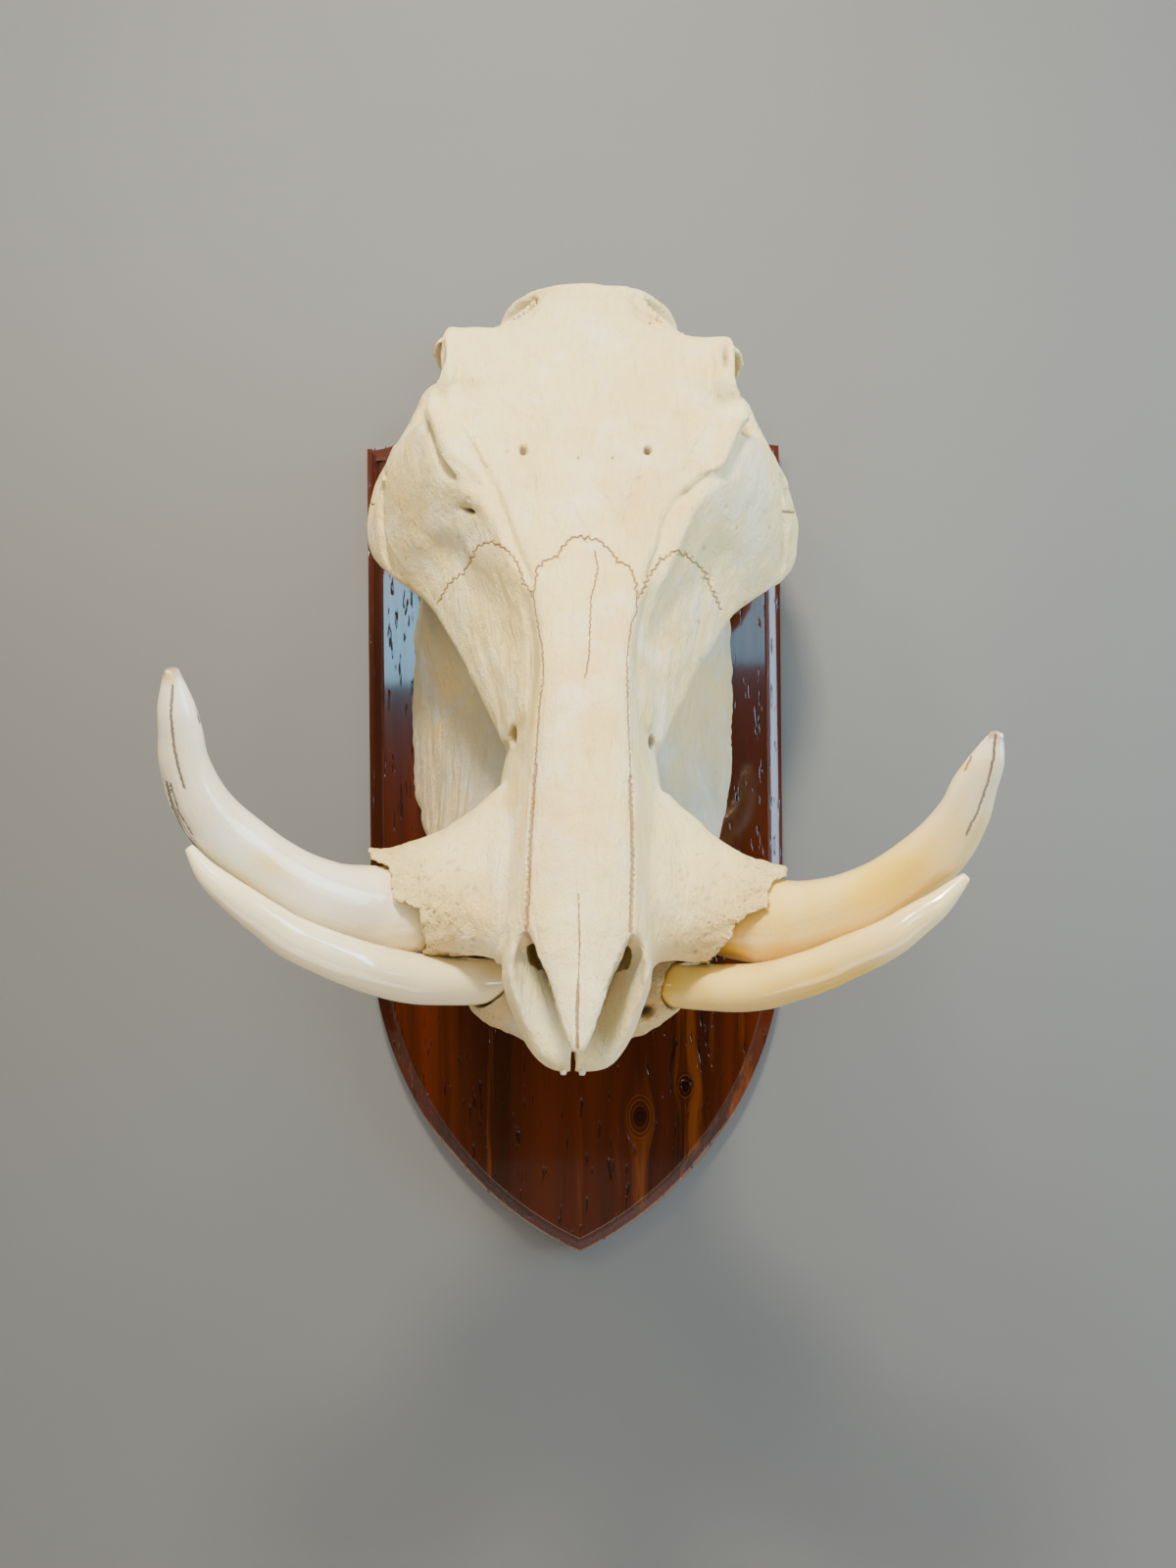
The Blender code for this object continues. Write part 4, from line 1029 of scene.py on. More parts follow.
class Surface:
    """Builds one node material step by step."""

    def __init__(self, name):
        self.material = bpy.data.materials.new(name)
        self.material.use_nodes = True
        self.tree = self.material.node_tree
        self.shader = self.tree.nodes["Principled BSDF"]
        self.column = -400

    def node(self, kind, inputs=None, **settings):
        """A new node with its inputs linked or set."""
        made = self.tree.nodes.new(kind)
        self.column -= 60
        made.location = (self.column, (self.column * 7) % 600 - 300)
        for key, value in settings.items():
            setattr(made, key, value)
        for key, value in (inputs or {}).items():
            self.feed(made.inputs[key], value)
        return made

    def feed(self, socket, value):
        """Link a node's output, or set a plain value."""
        if isinstance(value, bpy.types.NodeSocket):
            self.tree.links.new(value, socket)
        else:
            socket.default_value = value

    def place(self, stretch=(1.0, 1.0, 1.0), skull=False):
        """The room's coordinates, or the skull's own, stretched."""
        where = self.node("ShaderNodeTexCoord").outputs["Object"]
        if skull:
            back = SKULL_POSE.inverted()
            turn = tuple(back.to_euler("XYZ"))
            values = {"Vector": where, "Rotation": turn, "Location": back.translation}
            where = self.node("ShaderNodeMapping", values).outputs[0]
        if stretch == (1.0, 1.0, 1.0):
            return where
        return self.node("ShaderNodeMapping", {"Vector": where, "Scale": stretch}).outputs[0]

    def noise(self, scale, detail=2.0, rough=0.5, where=None, twist=0.0):
        """Clouds of values between 0 and 1."""
        values = {"Scale": scale, "Detail": detail, "Roughness": rough, "Distortion": twist}
        values["Vector"] = where or self.place()
        return self.node("ShaderNodeTexNoise", values).outputs["Fac"]

    def cells(self, scale):
        """Distance to the nearest of many scattered points."""
        values = {"Scale": scale, "Randomness": 1.0, "Vector": self.place()}
        return self.node("ShaderNodeTexVoronoi", values).outputs["Distance"]

    def number(self, name):
        """A number that the mesh keeps for each point."""
        return self.node("ShaderNodeAttribute", attribute_name=name).outputs["Fac"]

    def math(self, operation, a, b=0.0):
        """The result of one operation on two values."""
        return self.node("ShaderNodeMath", {0: a, 1: b}, operation=operation).outputs[0]

    def ramp(self, value, low, high, bottom=0.0, top=1.0):
        """Values between low and high become bottom to top, smoothly."""
        values = {"Value": value, "From Min": low, "From Max": high, "To Min": bottom, "To Max": top}
        return self.node("ShaderNodeMapRange", values, interpolation_type="SMOOTHSTEP").outputs[0]

    def mix(self, share, first, second):
        """The first colour where share is 0, the second where it is 1."""
        made = self.node("ShaderNodeMix", data_type="RGBA")
        self.feed(made.inputs[0], share)
        self.feed(made.inputs[6], first)
        self.feed(made.inputs[7], second)
        return made.outputs[2]

    def bump(self, height, depth, strength=1.0, under=None):
        """Relief of the given depth in metres, on top of the relief under it."""
        values = {"Height": height, "Distance": depth, "Strength": strength}
        if under:
            values["Normal"] = under
        return self.node("ShaderNodeBump", values).outputs[0]

    def finish(self, colour, roughness, normal, others=None):
        """Give the surface its colour, roughness and relief, and any other values."""
        self.feed(self.shader.inputs["Base Color"], colour)
        self.feed(self.shader.inputs["Roughness"], roughness)
        self.feed(self.shader.inputs["Normal"], normal)
        for key, value in (others or {}).items():
            self.feed(self.shader.inputs[key], value)
        return self.material


def seam_line(surface):
    """How much of a drawn seam is at a point, 0 to 1."""
    away = surface.math("ABSOLUTE", surface.number("seam"))
    width = surface.number("seam_width")
    fray = surface.ramp(surface.noise(900.0, 2.0), 0.3, 0.7, -0.35, 0.35)
    edge = surface.math("DIVIDE", surface.math("ADD", away, fray), surface.math("MAXIMUM", width, 0.05))
    line = surface.ramp(edge, 0.6, 1.7, 1.0, 0.0)
    return surface.math("MULTIPLY", line, surface.ramp(width, 0.12, 0.45))


def bone_surface(name, light, warm, seam, painted_shade):
    """Dry bone: clouded colour, fine fibres, small pores, seams, and painted shade darkening holes, pits
    and cavities.
    """
    bone = Surface(name)
    clouds = bone.noise(11.0, 3.0, 0.55)
    patches = bone.noise(38.0, 4.0, 0.6)
    patched = bone.ramp(patches, 0.45, 0.75, 0.0, 0.25)
    blend = bone.math("ADD", bone.ramp(clouds, 0.35, 0.70, 0.0, 0.75), patched)
    warmth = bone.math("MAXIMUM", blend, bone.number("warm"))
    colour = bone.mix(bone.math("MINIMUM", warmth, 1.0), light, warm)
    fibres = bone.noise(330.0, 4.0, 0.6, bone.place((1.0, 0.22, 1.0), True), 0.8)
    shade = tuple(a * b for a, b in zip(warm, (0.62, 0.62, 0.70, 1.0)))
    colour = bone.mix(bone.ramp(fibres, 0.45, 0.80, 0.0, 0.16), colour, shade)
    smudges = bone.noise(60.0, 6.0, 0.75, None, 0.6)
    colour = bone.mix(bone.ramp(smudges, 0.50, 0.78, 0.0, 0.30), colour, shade)
    pale = tuple(1 - (1 - a) * b for a, b in zip(light, (0.9, 0.72, 0.60, 1.0)))
    bleached = bone.noise(24.0, 5.0, 0.65, None, 0.5)
    colour = bone.mix(bone.ramp(bleached, 0.46, 0.70, 0.0, 0.60), colour, pale)
    specks = bone.ramp(bone.cells(170.0), 0.05, 0.10, 1.0, 0.0)
    specks = bone.math("MULTIPLY", specks, bone.ramp(bone.noise(33.0, 2.0), 0.60, 0.68))
    colour = bone.mix(bone.math("MULTIPLY", specks, 0.55), colour, seam)
    grit = bone.noise(900.0, 3.0, 0.65)
    rough = bone.number("rough")
    pore_field = bone.cells(520.0)
    pores = bone.ramp(pore_field, 0.10, 0.26, 1.0, 0.0)
    chosen = bone.ramp(bone.noise(60.0, 2.0), 0.60, 0.70)
    rough_chosen = bone.math("MULTIPLY", rough, bone.ramp(bone.noise(150.0, 2.0), 0.40, 0.62))
    porous = bone.math("MAXIMUM", bone.math("MULTIPLY", chosen, 0.35), rough_chosen)
    pores = bone.math("MULTIPLY", pores, porous)
    colour = bone.mix(bone.math("MULTIPLY", pores, 0.55), colour, seam)
    line = seam_line(bone)
    colour = bone.mix(bone.math("MULTIPLY", line, 0.80), colour, seam)
    # Painted shade: darkens the holes, pits, cavities and the slots under the nose bones
    colour = bone.mix(bone.number("painted_shade"), colour, painted_shade)
    relief = bone.math("MULTIPLY", grit, bone.ramp(rough, 0.0, 1.0, 0.35, 1.0))
    normal = bone.bump(relief, 0.0020, 0.8)
    normal = bone.bump(fibres, 0.0018, 0.7, normal)
    normal = bone.bump(bone.noise(95.0, 4.0, 0.6), 0.0030, 0.5, normal)
    normal = bone.bump(bone.math("MULTIPLY", pores, -1.0), 0.0008, 0.9, normal)
    normal = bone.bump(bone.math("MULTIPLY", line, -1.0), 0.0008, 0.9, normal)
    roughness = bone.ramp(patches, 0.3, 0.8, 0.50, 0.68)
    return bone.finish(colour, roughness, normal)


def ivory_surface(name, base, stain, crack, roughness, coat, ring_depth):
    """Tusk ivory: growth rings, long fine streaks, tan stains and dark cracks."""
    ivory = Surface(name)
    along = ivory.number("along")
    clouds = ivory.noise(22.0, 3.0, 0.55)
    colour = ivory.mix(ivory.ramp(clouds, 0.40, 0.72, 0.0, 0.22), base, stain)
    streak_value = ivory.number("round")
    combined = ivory.node("ShaderNodeCombineXYZ", {"X": streak_value, "Y": along, "Z": 0.0}).outputs[0]
    stretched = ivory.node("ShaderNodeMapping", {"Vector": combined, "Scale": (26.0, 3.0, 1.0)}).outputs[0]
    streaks = ivory.noise(1.0, 4.0, 0.6, stretched)
    colour = ivory.mix(ivory.ramp(streaks, 0.45, 0.75, 0.0, 0.22), colour, stain)
    colour = ivory.mix(ivory.number("stain"), colour, stain)
    line = seam_line(ivory)
    colour = ivory.mix(ivory.math("MULTIPLY", line, 0.85), colour, crack)
    rings = ivory.node("ShaderNodeMapping", {"Vector": combined, "Scale": (1.2, 90.0, 1.0)}).outputs[0]
    ring_noise = ivory.noise(1.0, 2.0, 0.5, rings)
    normal = ivory.bump(ring_noise, ring_depth, 0.5)
    normal = ivory.bump(streaks, ring_depth * 1.5, 0.4, normal)
    normal = ivory.bump(ivory.math("MULTIPLY", line, -1.0), 0.0005, 0.8, normal)
    chips = ivory.math("MULTIPLY", ivory.noise(500.0, 3.0, 0.6), ivory.number("chip"))
    normal = ivory.bump(chips, 0.0012, 0.8, normal)
    broken = ivory.ramp(ivory.noise(230.0, 3.0, 0.6), 0.38, 0.52)
    brown = ivory.math("MULTIPLY", broken, ivory.number("chip"))
    colour = ivory.mix(ivory.math("MULTIPLY", brown, 0.9), colour, CHIP_BROWN)
    worn = ivory.math("MAXIMUM", ivory.number("chip"), line)
    polish = ivory.ramp(streaks, 0.3, 0.8, roughness, roughness + 0.10)
    rough = ivory.math("ADD", polish, ivory.math("MULTIPLY", worn, 0.35))
    return ivory.finish(colour, rough, normal, {
        "Coat Weight": coat,
        "Coat Roughness": 0.05,
        "Coat IOR": 1.65,
        "Subsurface Weight": 0.08,
        "Subsurface Radius": (0.004, 0.0025, 0.0015),
        "Subsurface Scale": 1.0,
    })


def wood_surface(settings):
    """Dark red-brown wood with upright grain, long pores and two knots, under glossy varnish."""
    wood = Surface("varnished_red_wood")
    where = wood.place()
    axes = wood.node("ShaderNodeSeparateXYZ", {"Vector": where})
    x, z = axes.outputs["X"], axes.outputs["Z"]
    swirl = 0.0
    rings = 0.0
    dark_heart = 0.0
    for knot_x, knot_z, size in KNOTS:
        dx = wood.math("SUBTRACT", x, knot_x)
        dz = wood.math("MULTIPLY", wood.math("SUBTRACT", z, knot_z), KNOT_STRETCH)
        squares = wood.math("ADD", wood.math("MULTIPLY", dx, dx), wood.math("MULTIPLY", dz, dz))
        away = wood.math("SQRT", squares)
        pull = wood.ramp(away, size * 0.6, size * 4.5, 1.0, 0.0)
        side = wood.math("DIVIDE", dx, wood.math("MAXIMUM", away, size * 0.5))
        bend = wood.math("MULTIPLY", wood.math("MULTIPLY", side, pull), size * 0.8)
        swirl = wood.math("ADD", bend, swirl)
        ring = wood.math("SINE", wood.math("MULTIPLY", away, 3200.0))
        ring = wood.math("MULTIPLY", ring, wood.ramp(away, size * 0.7, size * 1.4, 1.0, 0.0))
        rings = wood.math("ADD", ring, rings)
        heart = wood.ramp(away, size * 0.25, size * 1.2, 1.0, 0.0)
        dark_heart = wood.math("MAXIMUM", heart, dark_heart)
    moved = wood.math("SUBTRACT", x, swirl)
    bent = wood.node("ShaderNodeCombineXYZ", {"X": moved, "Y": axes.outputs["Y"], "Z": z}).outputs[0]
    long_grain = wood.node("ShaderNodeMapping", {"Vector": bent, "Scale": (1.0, 1.0, 0.045)}).outputs[0]
    broad = wood.noise(26.0, 4.0, 0.55, long_grain, 0.6)
    fine = wood.noise(210.0, 4.0, 0.65, long_grain)
    fleck_place = wood.node("ShaderNodeMapping", {"Vector": bent, "Scale": (1.0, 1.0, 0.13)}).outputs[0]
    flecks = wood.noise(420.0, 2.0, 0.5, fleck_place)
    colour = wood.mix(wood.ramp(broad, 0.34, 0.62), settings.dark, settings.red)
    bands = wood.noise(64.0, 5.0, 0.6, long_grain, 0.4)
    colour = wood.mix(wood.ramp(bands, 0.56, 0.72, 0.0, 0.55), colour, settings.streak)
    colour = wood.mix(wood.ramp(fine, 0.50, 0.72, 0.0, 0.45), colour, settings.dark)
    colour = wood.mix(wood.ramp(rings, -0.4, 0.9, 0.0, 0.4), colour, settings.streak)
    colour = wood.mix(wood.math("MULTIPLY", dark_heart, 0.85), colour, settings.dark)
    pores = wood.ramp(flecks, 0.62, 0.70)
    colour = wood.mix(wood.math("MULTIPLY", pores, 0.6), colour, settings.dark)
    ripple = wood.noise(90.0, 2.0, 0.5, fleck_place)
    normal = wood.bump(ripple, 0.0006, 0.10)
    normal = wood.bump(wood.math("MULTIPLY", pores, -1.0), 0.0005, 0.55, normal)
    roughness = wood.ramp(fine, 0.3, 0.8, 0.16, 0.26)
    return wood.finish(colour, roughness, normal, {
        "Specular IOR Level": 0.2,
        "Coat Weight": 0.6,
        "Coat Roughness": 0.06,
        "Coat Normal": normal,
    })


def shield_outline():
    """The shield's front outline, clockwise from the right end of its flat crest."""
    top = SHIELD_HEIGHT / 2
    half = SHIELD_WIDTH / 2
    scoop_x = CREST_HALF_WIDTH + SCOOP_RADIUS
    points = []
    sweep = math.pi / 2 - math.asin((scoop_x - half) / SCOOP_RADIUS)
    for i in range(SCOOP_SEGMENTS + 1):
        turn = math.pi + sweep * i / SCOOP_SEGMENTS
        points.append((scoop_x + SCOOP_RADIUS * math.cos(turn), top + SCOOP_RADIUS * math.sin(turn)))
    drop = SIDE_END_Z + top
    radius = (half * half + drop * drop) / (2 * half)
    reach = math.asin(drop / radius)
    for i in range(POINT_SEGMENTS + 1):
        turn = -reach * i / POINT_SEGMENTS
        points.append((half - radius + radius * math.cos(turn), SIDE_END_Z + radius * math.sin(turn)))
    mirrored = [(-x, z) for x, z in points[-2::-1]]
    return points + mirrored


def inset_outline(points, distance):
    """The outline moved inwards by a distance, with mitred corners."""
    moved = []
    for k, (x, z) in enumerate(points):
        before = Vector((x, z)) - Vector(points[k - 1])
        after = Vector(points[(k + 1) % len(points)]) - Vector((x, z))
        first = Vector((before.y, -before.x)).normalized()
        second = Vector((after.y, -after.x)).normalized()
        middle = (first + second).normalized()
        reach = middle.dot(first)
        moved.append((x + middle.x * distance / reach, z + middle.y * distance / reach))
    crest_end = moved[0]
    shoulder = moved[SCOOP_SEGMENTS]
    tip = moved[len(points) // 2]
    for k, (x, z) in enumerate(moved):
        if z < tip[1] or x * points[k][0] < 0:
            moved[k] = tip
        elif z > crest_end[1]:
            moved[k] = (math.copysign(crest_end[0], x), crest_end[1])
        elif z > shoulder[1] and abs(x) > shoulder[0]:
            moved[k] = (math.copysign(shoulder[0], x), shoulder[1])
    return moved


def shield_board(bm, settings):
    """The board with its routed rim: rounded arris, shallow cove and a small step."""
    depth = SHIELD_THICKNESS
    width, drop, step = settings.rim_width, settings.rim_drop, settings.rim_step
    rim = [(0.0006, 0.0), (0.0, 0.0006), (0.0, depth - drop - 0.0008), (0.0002, depth - drop - 0.0002),
           (0.0008, depth - drop)]
    for k in range(1, 9):
        t = k / 8
        rise = t ** 1.6 * 0.55 + t * 0.45
        rim.append((0.0008 + (width - 0.0008) * t, depth - drop + (drop - step) * rise))
    rim += [(width + 0.0002, depth - step + 0.0003), (width + 0.0003, depth - 0.0005),
            (width + 0.0006, depth - 0.0001), (width + 0.0010, depth), (width + 0.0016, depth)]
    outline = shield_outline()
    loops = []
    for distance, at in rim:
        loops.append([bm.verts.new((x, -at, z)) for x, z in inset_outline(outline, distance)])
    count = len(outline)
    for near, far in zip(loops, loops[1:]):
        for i in range(count):
            j = (i + 1) % count
            bm.faces.new((near[i], near[j], far[j], far[i]))
    for loop in (loops[0], loops[-1]):
        for i in range(count // 2 - 1):
            bm.faces.new((loop[i], loop[i + 1], loop[count - 2 - i], loop[count - 1 - i]))
        middle = count // 2
        bm.faces.new((loop[middle - 1], loop[middle], loop[middle + 1]))
    bmesh.ops.remove_doubles(bm, verts=bm.verts, dist=0.00002)
    bmesh.ops.recalc_face_normals(bm, faces=bm.faces)


def screw_hole(bm, x, z, length):
    """The room that a countersunk screw takes in the board."""
    steps = [(0.0054, -0.002), (0.0054, 0.003), (0.0027, 0.0059), (0.0027, length + 0.002)]
    rings = []
    for radius, depth in steps:
        rings.append([
            Vector((x + radius * math.cos(turn), -depth, z + radius * math.sin(turn)))
            for turn in (2 * math.pi * i / 40 for i in range(40))
        ])
    loft(bm, rings)


def tusk_shell(bm, stations, rings, segments):
    """A fine tube for a tusk, rounded off at its tip."""
    spans = max(4, rings // (len(stations) - 1))
    rows = curve_through([list(centre) + [radius] for centre, radius in stations], spans)
    tip = rows[-1]
    before = rows[-2]
    direction = Vector(tip[:3]) - Vector(before[:3])
    direction.normalize()
    for k in range(1, 7):
        turn = math.pi / 2 * k / 6.5
        place = Vector(tip[:3]) + direction * tip[3] * 0.7 * math.sin(turn)
        rows.append([*place, tip[3] * math.cos(turn)])
    points = [Vector(row[:3]) * MM for row in rows]
    loft(bm, rings_along(points, [row[3] * MM for row in rows], segments))


def build_tusk(name, stations, surface, settings, marks, stains, tip_chip, flutes):
    """One tusk with its flutes, cracks, stains and worn tip, standing for its CAD node."""
    rings = settings.rings
    segments = settings.segments
    piece = new_piece(
        name + "_ivory", lambda bm: tusk_shell(bm, stations, rings, segments), SKULL_POSE, surface)
    clay = Clay(piece)
    count = len(clay.u)
    ring = np.arange(count) // segments
    turn = (np.arange(count) % segments) / segments
    total = ring.max() + 1
    along = ring / (total - 1)
    angle = turn * 2 * math.pi
    flute = np.zeros(count)
    for where, depth, spread, first, last in flutes:
        gap = np.angle(np.exp(1j * (angle - where)))
        ends = ease(along, first, first + 0.1) * (1 - ease(along, last - 0.08, last))
        flute -= depth * np.exp(-(gap / spread) ** 2) * ends
    clay.push(flute)
    clay.push(lumps(clay.points, 17.0, 5) * 0.22 + lumps(clay.points, 7.0, 6) * 0.08)
    tip = ease(along, 1 - tip_chip, 1.0)
    clay.push((lumps(clay.points, 3.4, 9) * 0.55 + lumps(clay.points, 1.6, 3) * 0.25) * tip)
    rng = np.random.default_rng(len(name) + count % 97)
    lines = [(jagged(line, wave, rng), width) for line, width, wave in marks]
    press_seams(clay, lines, 0.35)
    clay.write()
    stain = np.zeros(count)
    for centre, radii, lean, strength in stains:
        blot = strength * np.exp(-clay.oval(centre, radii, lean))
        stain = np.maximum(stain, blot * (clay.facing > 0))
    stain = np.maximum(stain, 0.30 * (1 - ease(along, 0.0, 0.35)))
    if "right" in name:
        stain += 0.62 * (1 - ease(along, 0.50, 1.0)) + 0.12
    clay.note("stain", np.clip(stain + 0.12 * lumps(clay.points, 9.0, 12) * (stain > 0.05), 0, 1))
    clay.note("along", along)
    clay.note("round", np.abs(turn * 2 - 1))
    clay.note("chip", tip)
    piece.data.shade_smooth()
    stand_up(piece)
    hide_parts(name)
    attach(piece, "root")
    return piece


class SKULL_OT_cranium(bpy.types.Operator):
    """Build the cranium in bone, with its seams, holes and ragged tusk sleeves"""

    bl_idname = "skull.cranium"
    bl_label = "Cranium"

    def execute(self, context):
        settings = context.scene.skull_bone
        grain = settings.grain
        surface = bone_surface("skull_bone", settings.light, settings.warm, settings.seam, settings.painted_shade)
        piece = new_piece("cranium_bone", cranium_forms, SKULL_POSE, surface)
        fuse(piece, grain, 4)
        carve(piece, lambda bm: ellipse_tunnel(bm, NASAL_CAVITY))
        carve(piece, lambda bm: ellipse_tunnel(bm, SPINAL_OPENING))
        carve(piece, front_notch)
        carve(piece, lambda bm: broken_edge(bm, BREAK_LEFT, BREAK_OUTSIDE_LEFT))
        carve(piece, lambda bm: broken_edge(bm, BREAK_RIGHT, BREAK_OUTSIDE_RIGHT))
        for stations in (UPPER_TUSK_LEFT, UPPER_TUSK_RIGHT):
            carve(piece, lambda bm: rod_loft(bm, stations, 1, 8, 48, UPPER_SOCKET_GAP))
        clay = Clay(piece)
        # Broad forms
        for line, width, height, fade in BROAD_STROKES:
            clay.stroke(line, width, height, fade)
        for centre, radii, depth, turn in BROAD_DENTS:
            clay.dent(centre, radii, depth, turn)
        clay.push(lumps(clay.points, 26.0, 1) * 0.7 + lumps(clay.points, 9.0, 2) * 0.45)
        x, s, h = clay.points.T
        snout = (1 - ease(np.abs(x), 60.0, 100.0)) * ease(np.abs(x), 16.0, 28.0)
        snout = snout * (1 - ease(s, 230.0, 300.0)) * ease(s, 100.0, 130.0)
        clay.push(lumps(clay.points * np.array([1.0, 0.12, 0.8]), 3.2, 41) * 0.42, snout)
        clay.push(lumps(clay.points * np.array([1.0, 0.3, 1.0]), 6.5, 42) * 0.22)
        for line, width, height in RIDGES:
            clay.stroke(line, width, height * RIDGE_STRENGTH, RIDGE_FADE)
        clay.write()
        # Fine lines and holes
        rng = np.random.default_rng(7)
        lines = [(jagged(line, wave, rng), width) for line, width, wave in SEAMS]
        for finer in range(settings.refine):
            near = near_lines(clay, [line for line, _ in lines], 5.0)
            near |= near_lines(clay, [line for line, _, _ in CREASES], 6.0)
            for centre, radii, _, _ in HOLES:
                away = np.hypot(clay.u - centre[0], clay.v - centre[1])
                near |= (away < max(radii) * 2.2) & clay.seen
            if finer == 0:
                near |= (near_rim(clay, -1) > 0.15) | (near_rim(clay, 1) > 0.15)
            clay.refine(near)
            clay.read()
            clay.look()
        # Painted shade inside the holes for vessels and nerves, as dark as each dent is deep
        painted_shade = np.zeros(len(clay.u))
        for centre, radii, depth, turn in HOLES:
            painted_shade = np.maximum(painted_shade, clay.dent(centre, radii, depth, turn))
        for line, width, height in CREASES:
            clay.stroke(line, width, height * CREASE_STRENGTH, CREASE_FADE)
        # Painted shade in the listed hollows: under the postorbital hooks, in the temporal hollows, in the
        # gap between bone and upper left tusk, and in a few small hollows
        shade = np.zeros(len(clay.u))
        for centre, radii, depth, turn, dark in PAINTED_SHADE_HOLLOWS:
            shade = np.maximum(shade, dark * clay.dent(centre, radii, depth, turn))
        painted_shade = np.maximum(painted_shade, shade)
        press_seams(clay, lines, 0.6)
        rim_left = near_rim(clay, -1)
        rim_right = near_rim(clay, 1)
        rough = np.maximum(rim_left, rim_right)
        crumbs = lumps(clay.points, 3.2, 21) * 0.55 + lumps(clay.points, 1.8, 22) * 0.5
        clay.push((crumbs + lumps(clay.points, 5.5, 23) * 0.7) * rough)
        pits = np.zeros(len(clay.u))
        for _ in range(PIT_COUNT):
            side = rng.choice((-1, 1))
            beside, down = SLEEVE_PITS
            spot = (PIT_MIDDLE + side * rng.uniform(*beside), rng.uniform(*down))
            if rng.random() < FACE_PIT_SHARE:
                beside, down = FACE_PITS
                spot = (PIT_MIDDLE + side * rng.uniform(*beside), rng.uniform(*down))
            size = rng.uniform(0.7, 1.7)
            radii = (size, size * rng.uniform(0.7, 1.6))
            pits = np.maximum(pits, clay.dent(spot, radii, 0.5, rng.uniform(0, 3)))
        clay.write()
        x, s, h = clay.points.T
        # Painted shade inside the nasal cavity beyond the trough; the pits get painted shade too
        inside = ease(s, 44.0, 75.0) * (np.abs(x) < 24) * (h < 0) * (h > -46)
        inside = inside * (clay.normals[:, 2] * (h + 26) < 0)
        painted_shade = np.maximum(np.maximum(painted_shade * 1.1, pits * 0.6), inside * 0.8 * (s < 150))
        # Painted shadow under each nose bone's edge: a dark slot along it and a fainter band further out,
        # on the side of the opening
        for edge, rimward in NOSE_EDGES:
            away, share, past = line_offsets(clay.u, clay.v, edge)
            beyond = (away * rimward > 0.3) * (past < 1.0) * (h < 0.55 * s - 12.0) * (s < 60)
            slot = np.exp(-(away / 7.0) ** 2) * (1 - 0.75 * ease(share, 0.35, 0.95))
            painted_shade = np.maximum(painted_shade, 0.80 * slot * beyond)
            painted_shade = np.maximum(painted_shade, 0.22 * np.exp(-(away / 20.0) ** 2) * beyond)
        clay.note("painted_shade", np.clip(painted_shade, 0, 1))
        clay.note("rough", np.clip(rough + 0.25 * (s > 350) + 0.2 * (h < -70), 0, 1))
        warm = 0.55 * np.exp(-((x - 66) / 26) ** 2 - ((s - 75) / 30) ** 2)
        warm += 0.35 * np.exp(-((x - 25) / 50) ** 2 - ((s - 300) / 45) ** 2)
        warm += 0.35 * np.exp(-((x + 2) / 12) ** 2 - ((s - 170) / 60) ** 2)
        clay.note("warm", np.clip(warm, 0, 1))
        stand_up(piece)
        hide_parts("cranium")
        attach(piece, "root")
        return {"FINISHED"}


class SKULL_OT_jaw(bpy.types.Operator):
    """Build the lower jaw in bone"""

    bl_idname = "skull.jaw"
    bl_label = "Lower jaw"

    def execute(self, context):
        settings = context.scene.skull_bone
        grain = settings.grain
        # Painted shade: the jaw's bone is the darker, shaded copy of the bone colour
        surface = bone_surface("jaw_bone", settings.jaw, settings.warm, settings.seam, settings.painted_shade)
        piece = new_piece("jaw_bone", jaw_forms, JAW_POSE, surface)
        fuse(piece, grain, 5)
        turn_back = Matrix.Rotation(-JAW_TURN, 4, "Z")
        for stations in (LOWER_TUSK_LEFT, LOWER_TUSK_RIGHT):
            turned = [(tuple(turn_back @ Vector(centre)), radius) for centre, radius in stations]
            carve(piece, lambda bm: rod_loft(bm, turned, 1, 8, 48, LOWER_SOCKET_GAP))
        clay = Clay(piece)
        x, s, h = clay.points.T
        front = 1 - ease(s, 40.0, 62.0)
        clay.push((lumps(clay.points, 5.0, 31) * 0.5 + lumps(clay.points, 2.4, 32) * 0.3) * front)
        # Painted shade in the nerve hole, as dark as the dent is deep
        painted_shade = clay.dent(*JAW_HOLE)
        stretched = clay.points * np.array([1.0, 0.35, 0.35])
        clay.push(lumps(clay.points, 22.0, 33) * 0.5 + lumps(stretched, 4.0, 34) * 0.45)
        streaks = clay.points * np.array([0.3, 0.16, 1.0])
        clay.push(lumps(streaks, 3.4, 35) * 0.75 * ease(s, 110.0, 160.0))
        clay.push(lumps(clay.points, 9.0, 36) * 1.0 * ease(-h, 160.0, 200.0))
        clay.push(lumps(clay.points, 3.5, 37) * 0.7 * ease(-h, 175.0, 205.0))
        clay.write()
        clay.note("painted_shade", np.clip(painted_shade, 0, 1))
        clay.note("rough", np.clip(front + 0.3 * (h < -150), 0, 1))
        clay.note("warm", np.clip(front * 0.8, 0, 1))
        clay.note("seam", np.full(len(x), SEAM_REACH))
        clay.note("seam_width", np.zeros(len(x)))
        stand_up(piece)
        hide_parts("mandible")
        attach(piece, "root")
        return {"FINISHED"}


